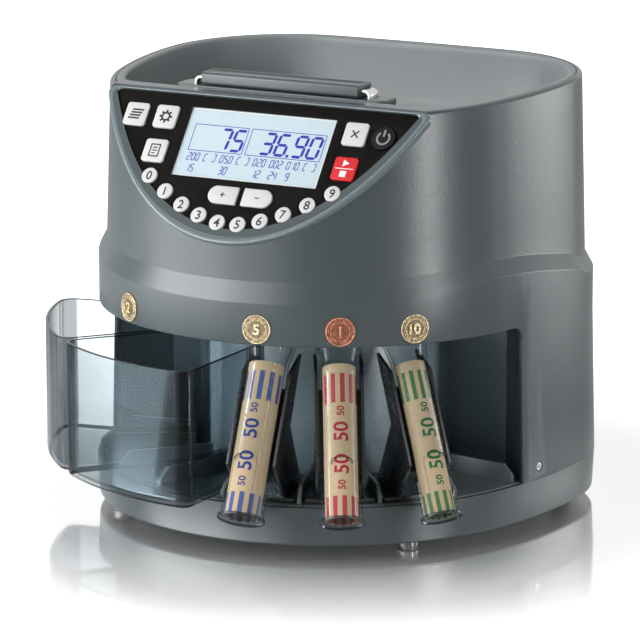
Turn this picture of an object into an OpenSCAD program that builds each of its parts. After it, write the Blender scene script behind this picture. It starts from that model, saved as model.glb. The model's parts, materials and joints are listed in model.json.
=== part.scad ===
// Counter-top coin counter and sorter with eight bays, two coin cups and three roll tubes.
// Frame: origin on the counter under the disc spindle, +Z up, front towards -Y, +X to the right.
// An azimuth is measured round the spindle from the front, positive towards +X.

/* [Body outline] */
// Radius of the round front, about the spindle
front_r = 153.9; // [150:0.1:160]
// Radius of the long side curves
side_r = 302.4; // [280:0.1:330]
// Radius of the two rear corners
corner_r = 98.8; // [94:0.1:102]
// Half angle of the round front
front_sweep = 73.5; // [72:0.1:74.5]
// Normal angle where a side meets its rear corner
side_sweep = 91; // [89:0.1:93]
// Normal angle where a rear corner meets the back
corner_sweep = 178; // [177:0.1:178.5]
// Normal angle of the two edges of the bay opening
opening_sweep = 77.2; // [76.5:0.1:78.5]
// Corner radius at the top of the bay opening
opening_fillet = 8; // [4:0.5:9]
// Thickness of the outer shells
wall = 3; // [2.6:0.1:3.4]

/* [Heights] */
// Height of the rubber feet
foot_h = 7; // [5:0.5:10]
// Height of the base tray
base_h = 25.5; // [22:0.5:32]
// Clear height of the bay opening
bay_h = 102.7; // [98:0.1:112]
// Height of the plain skirt above the opening
skirt_h = 26.5; // [24:0.1:32]
// Height of the sloping band
band_h = 12.8; // [10:0.1:16]
// Height of the hopper housing above the band
upper_h = 107.4; // [102:0.1:114]
// Rise of the rim towards the back, per millimetre
rim_slope = 0.018; // [0:0.001:0.03]
// How far the band rises from the front to the sides
band_rise = 6.5; // [0:0.5:8]
// How much narrower the band is at the sides than at the front
band_taper = 2.5; // [0:0.5:4]
// How far the band falls from the sides to the back
band_drop = 16.5; // [0:0.5:18]

/* [Insets from the base outline] */
// Inset of the base tray's bottom edge
base_inset = 1.3; // [0.5:0.1:2]
// Inset of the skirt
skirt_inset = 2.2; // [1.5:0.1:3]
// Inset of the hopper housing above the band
upper_inset = 7.7; // [6.5:0.1:9]
// Inset of the hopper housing at the rim
rim_inset = 10.9; // [10:0.1:12.5]

/* [Bays] */
// Number of coin bays
bay_count = 8; // [8]
// Angle from one bay to the next
bay_pitch = 20; // [20]
// Height of the ribs between the bays
rib_h = 11; // [7:0.5:13]
// Thickness of the ribs
rib_t = 2.5; // [2:0.1:3]
// Room between a rib and what stands beside it
rib_gap = 0.6; // [0.4:0.1:0.9]
// Depth of the bays, from the round front to the wall behind them
bay_depth = 75.9; // [72:0.1:80]
// Thickness of the wall behind the bays
drum_t = 2.5; // [2:0.1:3]
// Thickness of the bay floor
deck_t = 3; // [2.5:0.1:4]

/* [Control panel] */
// Lean of the panel back from the upright
panel_tilt = 37.2; // [36.5:0.1:38]
// Distance of the panel's reference point below the rim
panel_below_rim = 60.4; // [59:0.1:61.5]
// Distance of the panel's reference point behind the round front
panel_setback = 23.8; // [23:0.1:24.6]
// Height of the panel's top edge above its reference point
panel_top = 70.9; // [70:0.1:71.4]
// Width of the raised frame round the panel
bezel_w = 4.1; // [3.6:0.1:4.4]
// How far the raised frame stands out from the housing
bezel_proud = 2.6; // [2:0.1:3.2]
// Depth of the overlay below the raised frame
overlay_recess = 1; // [0.6:0.1:1.5]
// Thickness of the black overlay
overlay_t = 1.2; // [1:0.1:1.6]
// Thickness of the plate under the overlay
plate_t = 3; // [2.5:0.1:3.5]
// Room between the display window and the square keys beside it
lcd_gap = 8; // [6:0.5:10]
// Height of the display window
lcd_h = 49; // [46:0.5:49.5]
// Height of the display window's centre above the reference point
lcd_q = 38.8; // [38.4:0.1:39.2]
// Height of the curved row of digit keys at its lowest point
digit_low = -16.7; // [-17.2:0.1:-16.2]
// Rise of the row from its lowest point to its end keys
digit_rise = 28.4; // [27.5:0.1:29]
// Room between one digit key and the next
digit_gap = 3.8; // [3.4:0.1:5]
// Side of the square keys
square_key = 16; // [13:0.1:16.5]
// Diameter of the power key
power_d = 16; // [13:0.1:17]
// Width of the plus and minus keys
sign_w = 20.8; // [18:0.1:21.4]
// Height of the plus and minus keys
sign_h = 12.2; // [11:0.1:12.8]
// Height of a key above the overlay
key_rise = 1.3; // [1:0.1:1.8]
// Travel of a key
key_travel = 0.8; // [0.5:0.1:1]
// Room round a key in its opening
key_gap = 0.35; // [0.25:0.05:0.45]

/* [Coin disc and drive] */
// Distance of the turning disc's edge inside the round front
disc_margin = 53.9; // [53:0.1:60]
// Thickness of the turning disc
disc_t = 3; // [2.5:0.1:4]
// Diameter of the spindle
spindle_d = 8; // [7:0.1:10]
// Outer diameter of the spindle bearings
bearing_d = 22; // [20:0.5:26]
// Width of one bearing
bearing_w = 7; // [6:0.5:8]
// Distance of the motor behind the spindle
motor_y = 78; // [74:0.5:82]
// Diameter of the motor
motor_d = 44; // [38:0.5:48]
// Height of the motor
motor_h = 51; // [44:0.5:54]
// Belt radius on the disc pulley
disc_pulley_r = 34; // [30:0.5:36]
// Belt radius on the motor pulley
motor_pulley_r = 12; // [10:0.5:14]
// Width of the belt
belt_w = 9; // [7:0.5:10]
// Thickness of the belt
belt_t = 1.8; // [1.4:0.1:2.2]

/* [Handle] */
// Length of the grip
grip_l = 113; // [100:1:118]
// Depth of the grip, front to back
grip_d = 19; // [17:0.5:21]
// Height of the grip
grip_h = 8.2; // [7:0.1:10]
// Width of a steel strap
strap_w = 12; // [10:0.5:13]
// Thickness of a steel strap
strap_t = 1.8; // [1.4:0.1:2.2]
// Distance the handle lifts
handle_lift = 15; // [10:0.5:18]

/* [Cups, tubes and rolls] */
// How far the coin cups reach out past the round front
cup_reach = 33.1; // [28:0.1:38]
// Height of the coin cups
cup_h = 89; // [80:0.5:94]
// Wall of the coin cups
cup_wall = 2.2; // [1.8:0.1:2.6]
// Lean of the tubes from the upright
tube_tilt = 31; // [29:0.5:33]
// Distance of a roll's top end inside the round front
roll_in = 22.9; // [21:0.1:25]
// Height of a roll's top end above the bay floor
roll_z = 84.5; // [82:0.5:87]
// Length of a paper roll
roll_l = 100; // [92:0.5:102]
// Diameters of the three rolls
roll_d = [23, 21.2, 19];
// Thickness of the rolls' paper
paper_t = 0.7; // [0.5:0.1:1]
// Wall of the clear tubes
tube_wall = 1.9; // [1.6:0.1:2.2]
// Room between a tube and its roll
roll_gap = 0.4; // [0.3:0.05:0.6]
// Width of the thumb slot in a tube
slot_w = 15; // [11:0.5:16]
// Height of the thumb slot in a tube
slot_h = 38; // [30:0.5:44]
// Thickness of the stands' plates
stand_t = 2.2; // [1.8:0.1:2.6]

/* [Hidden] */
$fn = 48;

slate = [0.40, 0.44, 0.45];
dark = [0.10, 0.11, 0.12];
smoke = [0.55, 0.62, 0.66, 0.45];
clear = [0.85, 0.90, 0.92, 0.35];
steel = [0.75, 0.76, 0.78];
key_grey = [0.88, 0.88, 0.87];

// Clearances: a face that slides or turns, and a face that only seats
run = 0.3;
seat = 0.15;
cut = 1;

// Levels
base_top = foot_h + base_h;
deck_top = base_top + 0.5;
skirt_z = base_top + bay_h;
band_z = skirt_z + skirt_h;
upper_z = band_z + band_h;
rim_z = upper_z + upper_h;
chassis_z = skirt_z + 1.8;
chassis_t = 4;
chassis_top = chassis_z + chassis_t;
drum_r = front_r - bay_depth;
disc_r = front_r - disc_margin;
cup_r = front_r + cup_reach;
roll_r = front_r - roll_in;
function rim_top(y) = rim_z + rim_slope * y;
function upper_inset_at(z) = upper_inset + (rim_inset - upper_inset) * (z - upper_z) / upper_h;

// Plan outline: four arcs a side, each tangent to the next
function dir(a) = [sin(a), -cos(a)];
side_c = (front_r - side_r) * dir(front_sweep);
corner_c = side_c + (side_r - corner_r) * dir(side_sweep);
rear_r = corner_r + corner_c[0] / sin(corner_sweep);
rear_c = [0, corner_c[1] - (corner_r - rear_r) * cos(corner_sweep)];
function arc_of(b) = b <= front_sweep ? [[0, 0], front_r]
    : b <= side_sweep ? [side_c, side_r]
    : b <= corner_sweep ? [corner_c, corner_r] : [rear_c, rear_r];
function edge_pt(a, inset) =
    let (b = abs(a), arc = arc_of(b), p = arc[0] + (arc[1] - inset) * dir(b))
    [(a < 0 ? -1 : 1) * p[0], p[1]];
front_steps = 18;
fillet_steps = 4;
side_steps = 3;
corner_steps = 14;
rear_steps = 2;
fillet_span = opening_fillet / side_r * 180 / PI;
half_angles = concat(
    [for (i = [0:front_steps]) front_sweep * i / front_steps],
    [for (i = [0:fillet_steps]) opening_sweep - fillet_span * (1 - sin(90 * i / fillet_steps))],
    [for (i = [1:side_steps]) opening_sweep + (side_sweep - opening_sweep) * i / side_steps],
    [for (i = [1:corner_steps]) side_sweep + (corner_sweep - side_sweep) * i / corner_steps],
    [for (i = [1:rear_steps]) corner_sweep + (180 - corner_sweep) * i / rear_steps]);
half_count = len(half_angles) - 1;
ring_angles = concat(half_angles, [for (i = [half_count - 1:-1:1]) -half_angles[i]]);
ring_n = len(ring_angles);
function ring(inset) = [for (a = ring_angles) edge_pt(a, inset)];

// Rows of points round the outline, joined to their neighbours into one closed skin
function quad(k, k2, i, n) = let (j = (i + 1) % n) [k * n + i, k2 * n + i, k2 * n + j, k * n + j];
module closed_loft(rows) {
    n = len(rows[0]);
    m = len(rows);
    polyhedron([for (r = rows) for (p = r) p],
        [for (k = [0:m - 1]) for (i = [0:n - 1]) quad(k, (k + 1) % m, i, n)]);
}
module capped_loft(rows) {
    n = len(rows[0]);
    m = len(rows);
    polyhedron([for (r = rows) for (p = r) p], concat(
        [for (k = [0:m - 2]) for (i = [0:n - 1]) quad(k, k + 1, i, n)],
        [[for (i = [0:n - 1]) i], [for (i = [n - 1:-1:0]) (m - 1) * n + i]]));
}
function level(inset, z) = [for (p = ring(inset)) [p[0], p[1], z]];

// Places a child at an azimuth, with its +X axis outward
module at_azimuth(a) { rotate([0, 0, a - 90]) children(); }
module at_edge(a, z) {
    p = edge_pt(a, 0);
    translate([p[0], p[1], z]) rotate([0, 0, a - 90]) children();
}
module box(x0, x1, y0, y1, z0, z1) { translate([x0, y0, z0]) cube([x1 - x0, y1 - y0, z1 - z0]); }
module rod(d, z0, z1) { translate([0, 0, z0]) cylinder(d = d, h = z1 - z0); }
module rounded_rect(w, h, r) {
    square([w - 2 * r, h], center = true);
    square([w, h - 2 * r], center = true);
    for (x = [-1, 1]) for (y = [-1, 1]) translate([x * (w / 2 - r), y * (h / 2 - r)]) circle(r);
}
module slab(z0, z1) { translate([0, 0, z0]) linear_extrude(z1 - z0) children(); }

// Base tray, feet and bay floor
tray_floor = 2.5;
tray_round = 1.2;
tray_lip = 0.6;
foot_d = 14;
foot_pin = 6;
foot_inset = 14.4;
foot_angles = [48.2, 140];
post_d = 10;
foot_places = concat([[0, 0]], [for (s = [-1, 1]) for (a = foot_angles) edge_pt(s * a, foot_inset)]);
post_places = [for (x = [-1, 1]) for (y = [-70, 20, 110]) [x * 80, y]];
floor_inset = wall + rib_gap;
rib_in = drum_r + drum_t + 3;
rib_out = front_r - floor_inset - 3;
rib_chamfer = 7;
rib_azimuths = [for (i = [0:bay_count]) bay_pitch * (i - bay_count / 2)];
screw_z = deck_top + 7.5;
screw_angles = [for (s = [-1, 1]) for (a = [opening_sweep + 3.3, 140]) s * a];
screw_head_d = 6;
screw_head_h = 2;
screw_d = 3;
screw_sink = 0.8;
tab_w = 12;
tab_t = 4;
tab_h = 14;

module base_tray() {
    color(slate) difference() {
        union() {
            capped_loft([
                level(base_inset + tray_round, foot_h),
                level(base_inset, foot_h + tray_round),
                level(0, base_top - tray_lip),
                level(tray_lip, base_top),
                level(wall, base_top),
                level(wall + base_inset, foot_h + tray_floor)]);
            for (p = post_places) translate(p) rod(post_d, foot_h + tray_floor / 2, deck_top - deck_t);
        }
        for (p = foot_places) translate(p) rod(foot_pin + seat, foot_h - cut, foot_h + tray_floor + cut);
    }
}
module rubber_feet() {
    color(dark) for (p = foot_places) translate(p) {
        rod(foot_d, 0, foot_h);
        rod(foot_pin, foot_h - seat, foot_h + tray_floor + 2);
    }
}
module rib(azimuth) {
    at_azimuth(azimuth) rotate([90, 0, 0]) linear_extrude(rib_t, center = true)
        polygon([[rib_in, -deck_t / 2], [rib_out, -deck_t / 2], [rib_out, rib_h * 0.4],
            [rib_out - rib_chamfer, rib_h], [rib_in, rib_h]]);
}
module bay_floor() {
    color(slate) difference() {
        union() {
            slab(deck_top - deck_t, deck_top) polygon(ring(floor_inset));
            translate([0, 0, deck_top]) for (a = rib_azimuths) rib(a);
            for (a = screw_angles) at_edge(a, deck_top)
                box(-wall - rib_gap - tab_t, -wall - rib_gap, -tab_w / 2, tab_w / 2, -deck_t / 2, tab_h);
        }
        for (a = screw_angles) at_edge(a, screw_z) rotate([0, -90, 0])
            rod(screw_d + seat, 0, wall + tab_t + 2);
    }
}
module housing_screws() {
    color(steel) for (a = screw_angles) at_edge(a, screw_z) rotate([0, -90, 0]) {
        rod(screw_head_d, screw_sink, screw_sink + screw_head_h);
        rod(screw_d, screw_sink + screw_head_h / 2, wall + tab_t);
    }
}

// Walls behind the bays
drum_sweep = 102;
drum_turn = 3;
drum_steps = 32;
wall_end_x = 124;
wall_end_y = 8;
wall_z1 = chassis_z;
function drum_path(r, sweep, shift) = concat([[-wall_end_x, wall_end_y + shift]],
    [for (i = [0:drum_steps]) r * dir(sweep * (2 * i / drum_steps - 1))],
    [[wall_end_x, wall_end_y + shift]]);
function reversed(v) = [for (i = [len(v) - 1:-1:0]) v[i]];
jamb_out = edge_pt(opening_sweep + 0.5, wall + skirt_inset + seat);
module bay_wall() {
    color(dark) slab(deck_top, wall_z1)
        polygon(concat(drum_path(drum_r + drum_t, drum_sweep, 0),
            reversed(drum_path(drum_r, drum_sweep + drum_turn, drum_t))));
}
module jamb_panels() {
    inner = [wall_end_x + seat, wall_end_y];
    color(slate) for (s = [0, 1]) mirror([s, 0, 0]) slab(deck_top, wall_z1)
        polygon([inner, jamb_out, jamb_out + [0, 2 * drum_t], inner + [0, drum_t]]);
}

// Main housing: skirt, band and hopper shell in one moulding, open at the bays
rim_edge = 2.4;
lip_inset = rim_inset + 3.7;
lip_depth = 6;
hopper_wall = 2.4;
flange_w = 5.2;
ledge_inset = lip_inset + flange_w - hopper_wall;
ledge_t = 3.5;
rise_to = 70;
drop_from = 74;
drop_to = 102;
function smooth(t) = let (u = min(1, max(0, t))) u * u * (3 - 2 * u);
function side_share(a) = pow(min(1, abs(a) / rise_to), 2);
function band_lift(a) = band_rise * side_share(a)
    - band_drop * smooth((abs(a) - drop_from) / (drop_to - drop_from));
function skirt_edge(a) =
    let (d = min(1, max(0, 1 - (opening_sweep - abs(a)) / fillet_span)))
    skirt_z - opening_fillet * (1 - sqrt(1 - d * d));
housing_rows = 16;
function housing_point(k, a) =
    let (band_top = upper_z + band_lift(a), band_low = band_z + band_lift(a) + band_taper * side_share(a),
        edge = skirt_edge(a), rim = rim_top(edge_pt(a, rim_inset)[1]),
        row = [
            [0, base_top],
            [skirt_inset, edge],
            [skirt_inset, band_low],
            [upper_inset, band_top],
            [rim_inset, rim - rim_edge],
            [rim_inset + 0.3 * rim_edge, rim - 0.3 * rim_edge],
            [rim_inset + rim_edge, rim],
            [lip_inset, rim],
            [lip_inset, rim - lip_depth],
            [ledge_inset, rim - lip_depth],
            [ledge_inset, rim - lip_depth - ledge_t],
            [rim_inset + wall, rim - lip_depth - 3 * ledge_t],
            [upper_inset + wall, band_top],
            [skirt_inset + wall, band_low - wall / 2],
            [skirt_inset + wall, edge],
            [wall, base_top]][k],
        p = edge_pt(a, row[0]))
    [p[0], p[1], row[1]];
jamb_i = front_steps + 1 + fillet_steps;
jamb_j = ring_n - jamb_i;
last_row = housing_rows - 1;
module housing_skin() {
    points = [for (k = [0:last_row]) for (a = ring_angles) housing_point(k, a)];
    function at(k, i) = k * ring_n + i;
    back = [for (i = [jamb_i:jamb_j - 1]) for (k = [0:last_row])
        quad(k, (k + 1) % housing_rows, i, ring_n)];
    fronts = concat([for (i = [0:jamb_i - 1]) i], [for (i = [jamb_j:ring_n - 1]) i]);
    front = [for (i = fronts) for (k = [1:last_row - 1])
        quad(k, k == last_row - 1 ? 1 : k + 1, i, ring_n)];
    ends = [
        [at(1, jamb_i), at(0, jamb_i), at(last_row, jamb_i), at(last_row - 1, jamb_i)],
        [at(0, jamb_j), at(1, jamb_j), at(last_row - 1, jamb_j), at(last_row, jamb_j)]];
    polyhedron(points, concat(back, front, ends));
}
// Control panel plane: +X along the panel, +Y up its slope, +Z out of it
panel_y = -(front_r - panel_setback);
panel_z = rim_z - panel_below_rim;
module on_panel() { translate([0, panel_y, panel_z]) rotate([90 - panel_tilt, 0, 0]) children(); }
function panel_yz(q, w) = [panel_y + q * sin(panel_tilt) - w * cos(panel_tilt),
    panel_z + q * cos(panel_tilt) + w * sin(panel_tilt)];
// The raised frame's outline is the housing, grown and cut by the panel plane
function cut_r(q) = front_r + bezel_proud - upper_inset_at(panel_z + q * cos(panel_tilt));
cut_slope = -(rim_inset - upper_inset) * cos(panel_tilt) / upper_h;
function cut_q(a) = (-panel_y - cut_r(0) * cos(a)) / (sin(panel_tilt) + cut_slope * cos(a));
function cut_pt(a) = let (q = cut_q(a)) [cut_r(q) * sin(a), q];
// A point of the same outline, moved into the panel by a margin
cut_step = 0.01;
function cut_in(a, margin) =
    let (t = cut_pt(a + cut_step) - cut_pt(a - cut_step), n = [-t[1], t[0]] / norm(t))
    cut_pt(a) + margin * n;
// Angle at which the moved outline reaches a height, by halving
function cut_end(top, margin, low = 0, high = 80, n = 24) =
    let (mid = (low + high) / 2)
    n == 0 ? mid
    : cut_in(mid, margin)[1] < top ? cut_end(top, margin, mid, high, n - 1)
    : cut_end(top, margin, low, mid, n - 1);
panel_steps = 40;
function panel_shape(top, margin) =
    let (e = cut_end(top, margin))
    [for (i = [0:panel_steps]) cut_in(e * (2 * i / panel_steps - 1), margin)];

// Strip of rim between the panel's top edge and the hopper, and the raised frame round the panel
land_gap = 0.4;
land_w = 9.2;
pocket_depth = 10;
land_h = 9.6;
bezel_t = 7;
land_rear = panel_yz(panel_top, 0)[0] + land_w;
land_z1 = rim_top(land_rear);
land_z0 = land_z1 - land_h;
land_edge = rim_edge / 3;
land_q = (land_z1 - land_edge - panel_z) / cos(panel_tilt);
plate_back = -(overlay_recess + overlay_t + plate_t);
module front_land() {
    q0 = panel_top + land_gap;
    front_low = panel_yz(q0, 0);
    back_low = panel_yz(q0, plate_back - land_gap);
    front_high = panel_yz(land_q, 0);
    intersection() {
        rotate([90, 0, 90]) linear_extrude(2 * front_r, center = true) polygon([
            front_low, back_low, [back_low[0], land_z0], [land_rear, land_z0], [land_rear, land_z1],
            [front_high[0] + land_edge, land_z1], front_high]);
        slab(land_z0 - cut, rim_z + cut) polygon(ring(rim_inset + wall / 2));
    }
}
port_rise = 30;
port_z = deck_top + port_rise;
port_x = 38;
inlet_w = 28;
inlet_h = 20;
serial_w = 32;
serial_h = 13;
rear_y = edge_pt(180, 0)[1];
module main_housing() {
    color(slate) difference() {
        union() {
            difference() {
                union() {
                    difference() {
                        housing_skin();
                        on_panel() box(-front_r, front_r, -panel_below_rim, 2 * panel_below_rim, 0, front_r);
                    }
                    on_panel() slab(-bezel_t, 0) polygon(panel_shape(land_q, 0));
                }
                on_panel() slab(plate_back - pocket_depth, cut)
                    polygon(panel_shape(panel_top + land_gap, bezel_w));
            }
            front_land();
        }
        for (a = screw_angles) at_edge(a, screw_z) rotate([0, -90, 0]) {
            rod(screw_d + 2 * run, -cut, 2 * wall);
            rod(screw_head_d + run, -cut, screw_sink + screw_head_h);
        }
        for (p = [[port_x, inlet_w, inlet_h], [-port_x, serial_w, serial_h]])
            box(p[0] - p[1] / 2 - run, p[0] + p[1] / 2 + run, rear_y - 3 * wall, rear_y + cut,
                port_z - p[2] / 2 - run, port_z + p[2] / 2 + run);
    }
}

// Hopper bowl: its flange sits on the housing's ledge, its mouth opens over the disc
mouth_r = disc_r - 6;
mouth_z = chassis_top + 27;
hopper_front = land_rear + seat;
hopper_straight = 36;
function soft_max(y, limit, k) = (y + limit + sqrt((y - limit) * (y - limit) + k * k)) / 2;
function hopper_ring(inset, limit, k, down) =
    [for (p = ring(inset)) let (y = soft_max(p[1], limit, k)) [p[0], y, rim_top(y) - down]];
function mouth_ring(r, z) =
    [for (p = ring(lip_inset)) let (q = r * p / norm(p)) [q[0], q[1], z]];
function blend_rows(a, b, t) = [for (i = [0:len(a) - 1]) a[i] + (b[i] - a[i]) * t];
module hopper_bowl() {
    flange = lip_inset + run;
    inner = flange + flange_w;
    front = hopper_front + flange_w;
    top_in = hopper_ring(inner + 0.8, front, 8, hopper_straight);
    top_out = hopper_ring(inner + 0.8 - hopper_wall, front - hopper_wall, 8, hopper_straight);
    low_in = mouth_ring(mouth_r, mouth_z);
    low_out = mouth_ring(mouth_r + hopper_wall, mouth_z);
    color(slate) closed_loft([
        low_out,
        blend_rows(low_out, top_out, 0.5),
        top_out,
        hopper_ring(inner - hopper_wall, front - hopper_wall, 8, lip_depth + hopper_wall),
        hopper_ring(inner - hopper_wall, front - hopper_wall, 8, lip_depth - run),
        hopper_ring(flange, hopper_front, 3, lip_depth - run),
        hopper_ring(flange, hopper_front, 3, 0.5),
        hopper_ring(flange + 0.5, hopper_front + 0.5, 3, 0),
        hopper_ring(inner - 0.8, front - 0.8, 8, 0),
        hopper_ring(inner, front, 8, 1),
        top_in,
        blend_rows(low_in, top_in, 0.5),
        low_in]);
}

// Control panel stack
glass_t = 1;
digit_x = 0.3;
digit_span = front_r - 88.4;
digit_d = digit_span / 4.5 - digit_gap;
module key_shape(kind, grow) {
    if (kind == "digit") circle(d = digit_d + 2 * grow);
    else if (kind == "power") circle(d = power_d + 2 * grow);
    else if (kind == "square") rounded_rect(square_key + 2 * grow, square_key + 2 * grow, 2 + grow);
    else mirror([kind == "plus" ? 0 : 1, 0]) {
        r = sign_h / 2 + grow;
        translate([-sign_w / 2 + sign_h / 2, 0]) circle(r);
        translate([-sign_w / 2 + sign_h / 2, -r]) square([sign_w - sign_h / 2 + grow, 2 * r]);
    }
}
function digit_place(i) = let (t = i / 4.5 - 1)
    [digit_x + t * digit_span, digit_low + digit_rise * pow(abs(t), 5 / 3)];
grid_x = 0.7;
square_step = 22;
square_x = front_r - 63.9 - square_step;
square_q = 53.9;
square_drop = 24.4;
power_in = 2;
power_drop = 1;
lcd_w = 2 * (square_x - square_key / 2 - lcd_gap);
sign_q = 3.4;
sign_x = 3;
sign_gap = 3.8;
keys = concat(
    [for (i = [0:9]) [str("key_", i), "digit", digit_place(i)]],
    [["key_plus", "plus", [sign_x - (sign_w + sign_gap) / 2, sign_q]],
    ["key_minus", "minus", [sign_x + (sign_w + sign_gap) / 2, sign_q]],
    ["key_batch", "square", [grid_x - square_x - square_step, square_q]],
    ["key_set", "square", [grid_x - square_x, square_q]],
    ["key_print", "square", [grid_x - square_x, square_q - square_drop]],
    ["key_clear", "square", [grid_x + square_x, square_q]],
    ["key_start_stop", "square", [grid_x + square_x, square_q - square_drop]],
    ["key_power", "power", [grid_x + square_x + square_step - power_in, square_q - power_drop]]]);
overlay_top = -overlay_recess;
plate_top = overlay_top - overlay_t;
flange_t = 1.2;
flange_grow = 1;
flange_top = plate_back - 0.1;
switch_gap = 0.15;
switch_top = flange_top - flange_t - key_travel - switch_gap;
board_top = switch_top - 1.6;
board_t = 1.6;
board_margin = 4;
board_drop = 3;
module panel_cutouts(z0, z1) {
    for (k = keys) translate(k[2]) slab(z0, z1) key_shape(k[1], key_gap);
    translate([grid_x, lcd_q]) slab(z0, z1) square([lcd_w, lcd_h], center = true);
}
module panel_plate() {
    color(dark) on_panel() difference() {
        slab(plate_back, plate_top) polygon(panel_shape(panel_top, bezel_w + seat));
        panel_cutouts(plate_back - cut, plate_top + cut);
    }
}
module panel_overlay() {
    color(dark) on_panel() difference() {
        slab(plate_top, overlay_top) polygon(panel_shape(panel_top, bezel_w + 2 * seat));
        panel_cutouts(plate_top - cut, overlay_top + cut);
    }
}
module display_glass() {
    color(clear) on_panel() translate([grid_x, lcd_q]) slab(overlay_top - 0.2 - glass_t, overlay_top - 0.2)
        square([lcd_w - 2 * seat, lcd_h - 2 * seat], center = true);
}
module display_module() {
    color([0.8, 0.87, 0.9]) on_panel() translate([grid_x, lcd_q])
        slab(board_top, overlay_top - 0.2 - glass_t)
            square([lcd_w - 2 * seat, lcd_h - 2 * seat], center = true);
}
module key_board() {
    color([0.1, 0.35, 0.2]) on_panel() {
        slab(board_top - board_t, board_top)
            polygon(panel_shape(panel_top - board_drop, bezel_w + board_margin));
        for (k = keys) translate(k[2]) slab(board_top, switch_top) square(6, center = true);
    }
}
module panel_key(i) {
    k = keys[i];
    tint = k[0] == "key_start_stop" ? [0.85, 0.1, 0.12] : k[0] == "key_power" ? dark : key_grey;
    color(tint) on_panel() translate(k[2]) {
        slab(flange_top, overlay_top + key_rise) key_shape(k[1], 0);
        slab(flange_top - flange_t, flange_top) key_shape(k[1], flange_grow);
    }
}

// Upper chassis, coin path and disc
exit_azimuths = [for (i = [0:bay_count - 1]) bay_pitch * (i + 0.5 - bay_count / 2)];
exit_r = front_r - 32.9;
exit_d = 30;
boss_wall = 5;
boss_h = 29;
chassis_inset = wall + skirt_inset + rib_gap;
rail_in = disc_r + 2.5;
rail_t = 4;
rail_h = 15;
slot_half = 9;
chute_w = 34;
chute_t = 2;
chute_h = 14;
chute_len = 30;
disc_z = chassis_top + 9;
hub_d = 28;
cap_d = 44;
cap_h = 10;
bearing_run = 0.1;
boss_bottom = chassis_z - boss_h;
module upper_chassis() {
    color(dark) difference() {
        union() {
            slab(chassis_z, chassis_top) polygon(ring(chassis_inset));
            rod(bearing_d + 2 * boss_wall, boss_bottom, chassis_z + chassis_t / 2);
        }
        rod(bearing_d + seat / 3, boss_bottom - cut, chassis_top + cut);
        for (a = exit_azimuths) at_azimuth(a) translate([exit_r, 0])
            rod(exit_d, chassis_z - cut, chassis_top + cut);
    }
}
module bearings() {
    color(steel) for (z = [boss_bottom, chassis_z - bearing_w]) difference() {
        rod(bearing_d, z, z + bearing_w);
        rod(spindle_d + bearing_run, z - cut, z + bearing_w + cut);
    }
}
module sort_ring() {
    color(steel) difference() {
        rod(2 * (rail_in + rail_t), chassis_top, chassis_top + rail_h);
        rod(2 * rail_in, chassis_top - cut, chassis_top + rail_h + cut);
        for (i = [0:bay_count - 1]) at_azimuth(exit_azimuths[i])
            box(0, rail_in + 2 * rail_t, -slot_half - i, slot_half + i,
                chassis_top + rail_h / 2, chassis_top + rail_h + cut);
    }
}
module exit_chutes() {
    x0 = rail_in + rail_t + 0.5;
    color(dark) for (a = exit_azimuths) at_azimuth(a) difference() {
        box(x0, x0 + chute_len, -chute_w / 2, chute_w / 2, chassis_top, chassis_top + chute_h);
        box(x0 - cut, x0 + chute_len - chute_t, chute_t - chute_w / 2, chute_w / 2 - chute_t,
            chassis_top - cut, chassis_top + chute_h - chute_t);
    }
}
module coin_disc() {
    color(steel) difference() {
        union() {
            rod(2 * disc_r, disc_z, disc_z + disc_t);
            rod(hub_d, chassis_top + 2, disc_z + disc_t / 2);
        }
        rod(spindle_d + seat / 3, chassis_top, disc_z + disc_t + cut);
    }
}
module hub_cap() {
    color(dark) translate([0, 0, disc_z + disc_t]) cylinder(d1 = cap_d, d2 = cap_d / 3, h = cap_h);
}
pulley_flange = 1.2;
pulley_w = belt_w + 2 * run;
pulley_z = boss_bottom - pulley_w - 2 * pulley_flange - 2;
belt_z = pulley_z + pulley_flange + run;
module pulley(r) {
    rod(2 * r, pulley_z, pulley_z + pulley_w + 2 * pulley_flange);
    for (z = [pulley_z, pulley_z + pulley_flange + pulley_w])
        rod(2 * (r + belt_t + 1), z, z + pulley_flange);
}
module spindle() { color(steel) rod(spindle_d, pulley_z - 2, disc_z + disc_t); }
module disc_pulley() {
    color(dark) difference() {
        pulley(disc_pulley_r);
        rod(spindle_d + seat / 3, pulley_z - cut, pulley_z + pulley_w + 4 * pulley_flange);
    }
}
motor_shaft_d = 6;
module drive_motor() {
    color(steel) translate([0, motor_y]) difference() {
        rod(motor_d, deck_top, deck_top + motor_h);
        rod(motor_shaft_d + bearing_run, deck_top + motor_h / 2, deck_top + motor_h + cut);
    }
}
module motor_pulley() {
    color(dark) translate([0, motor_y]) {
        pulley(motor_pulley_r);
        rod(motor_shaft_d, deck_top + motor_h / 2 + cut, pulley_z + pulley_flange);
    }
}
// Loop round both pulleys: an arc on each, joined by their common tangents
belt_steps = 24;
function belt_arc(y, r, a0, a1) =
    [for (i = [0:belt_steps]) let (a = a0 + (a1 - a0) * i / belt_steps) [r * cos(a), y + r * sin(a)]];
module belt_loop(grow) {
    r0 = disc_pulley_r + grow;
    r1 = motor_pulley_r + grow;
    t = asin((r0 - r1) / motor_y);
    polygon(concat(belt_arc(motor_y, r1, t, 180 - t), belt_arc(0, r0, 180 - t, 360 + t)));
}
module drive_belt() {
    color(dark) slab(belt_z, belt_z + belt_w) difference() {
        belt_loop(run + belt_t);
        belt_loop(run);
    }
}

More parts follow.
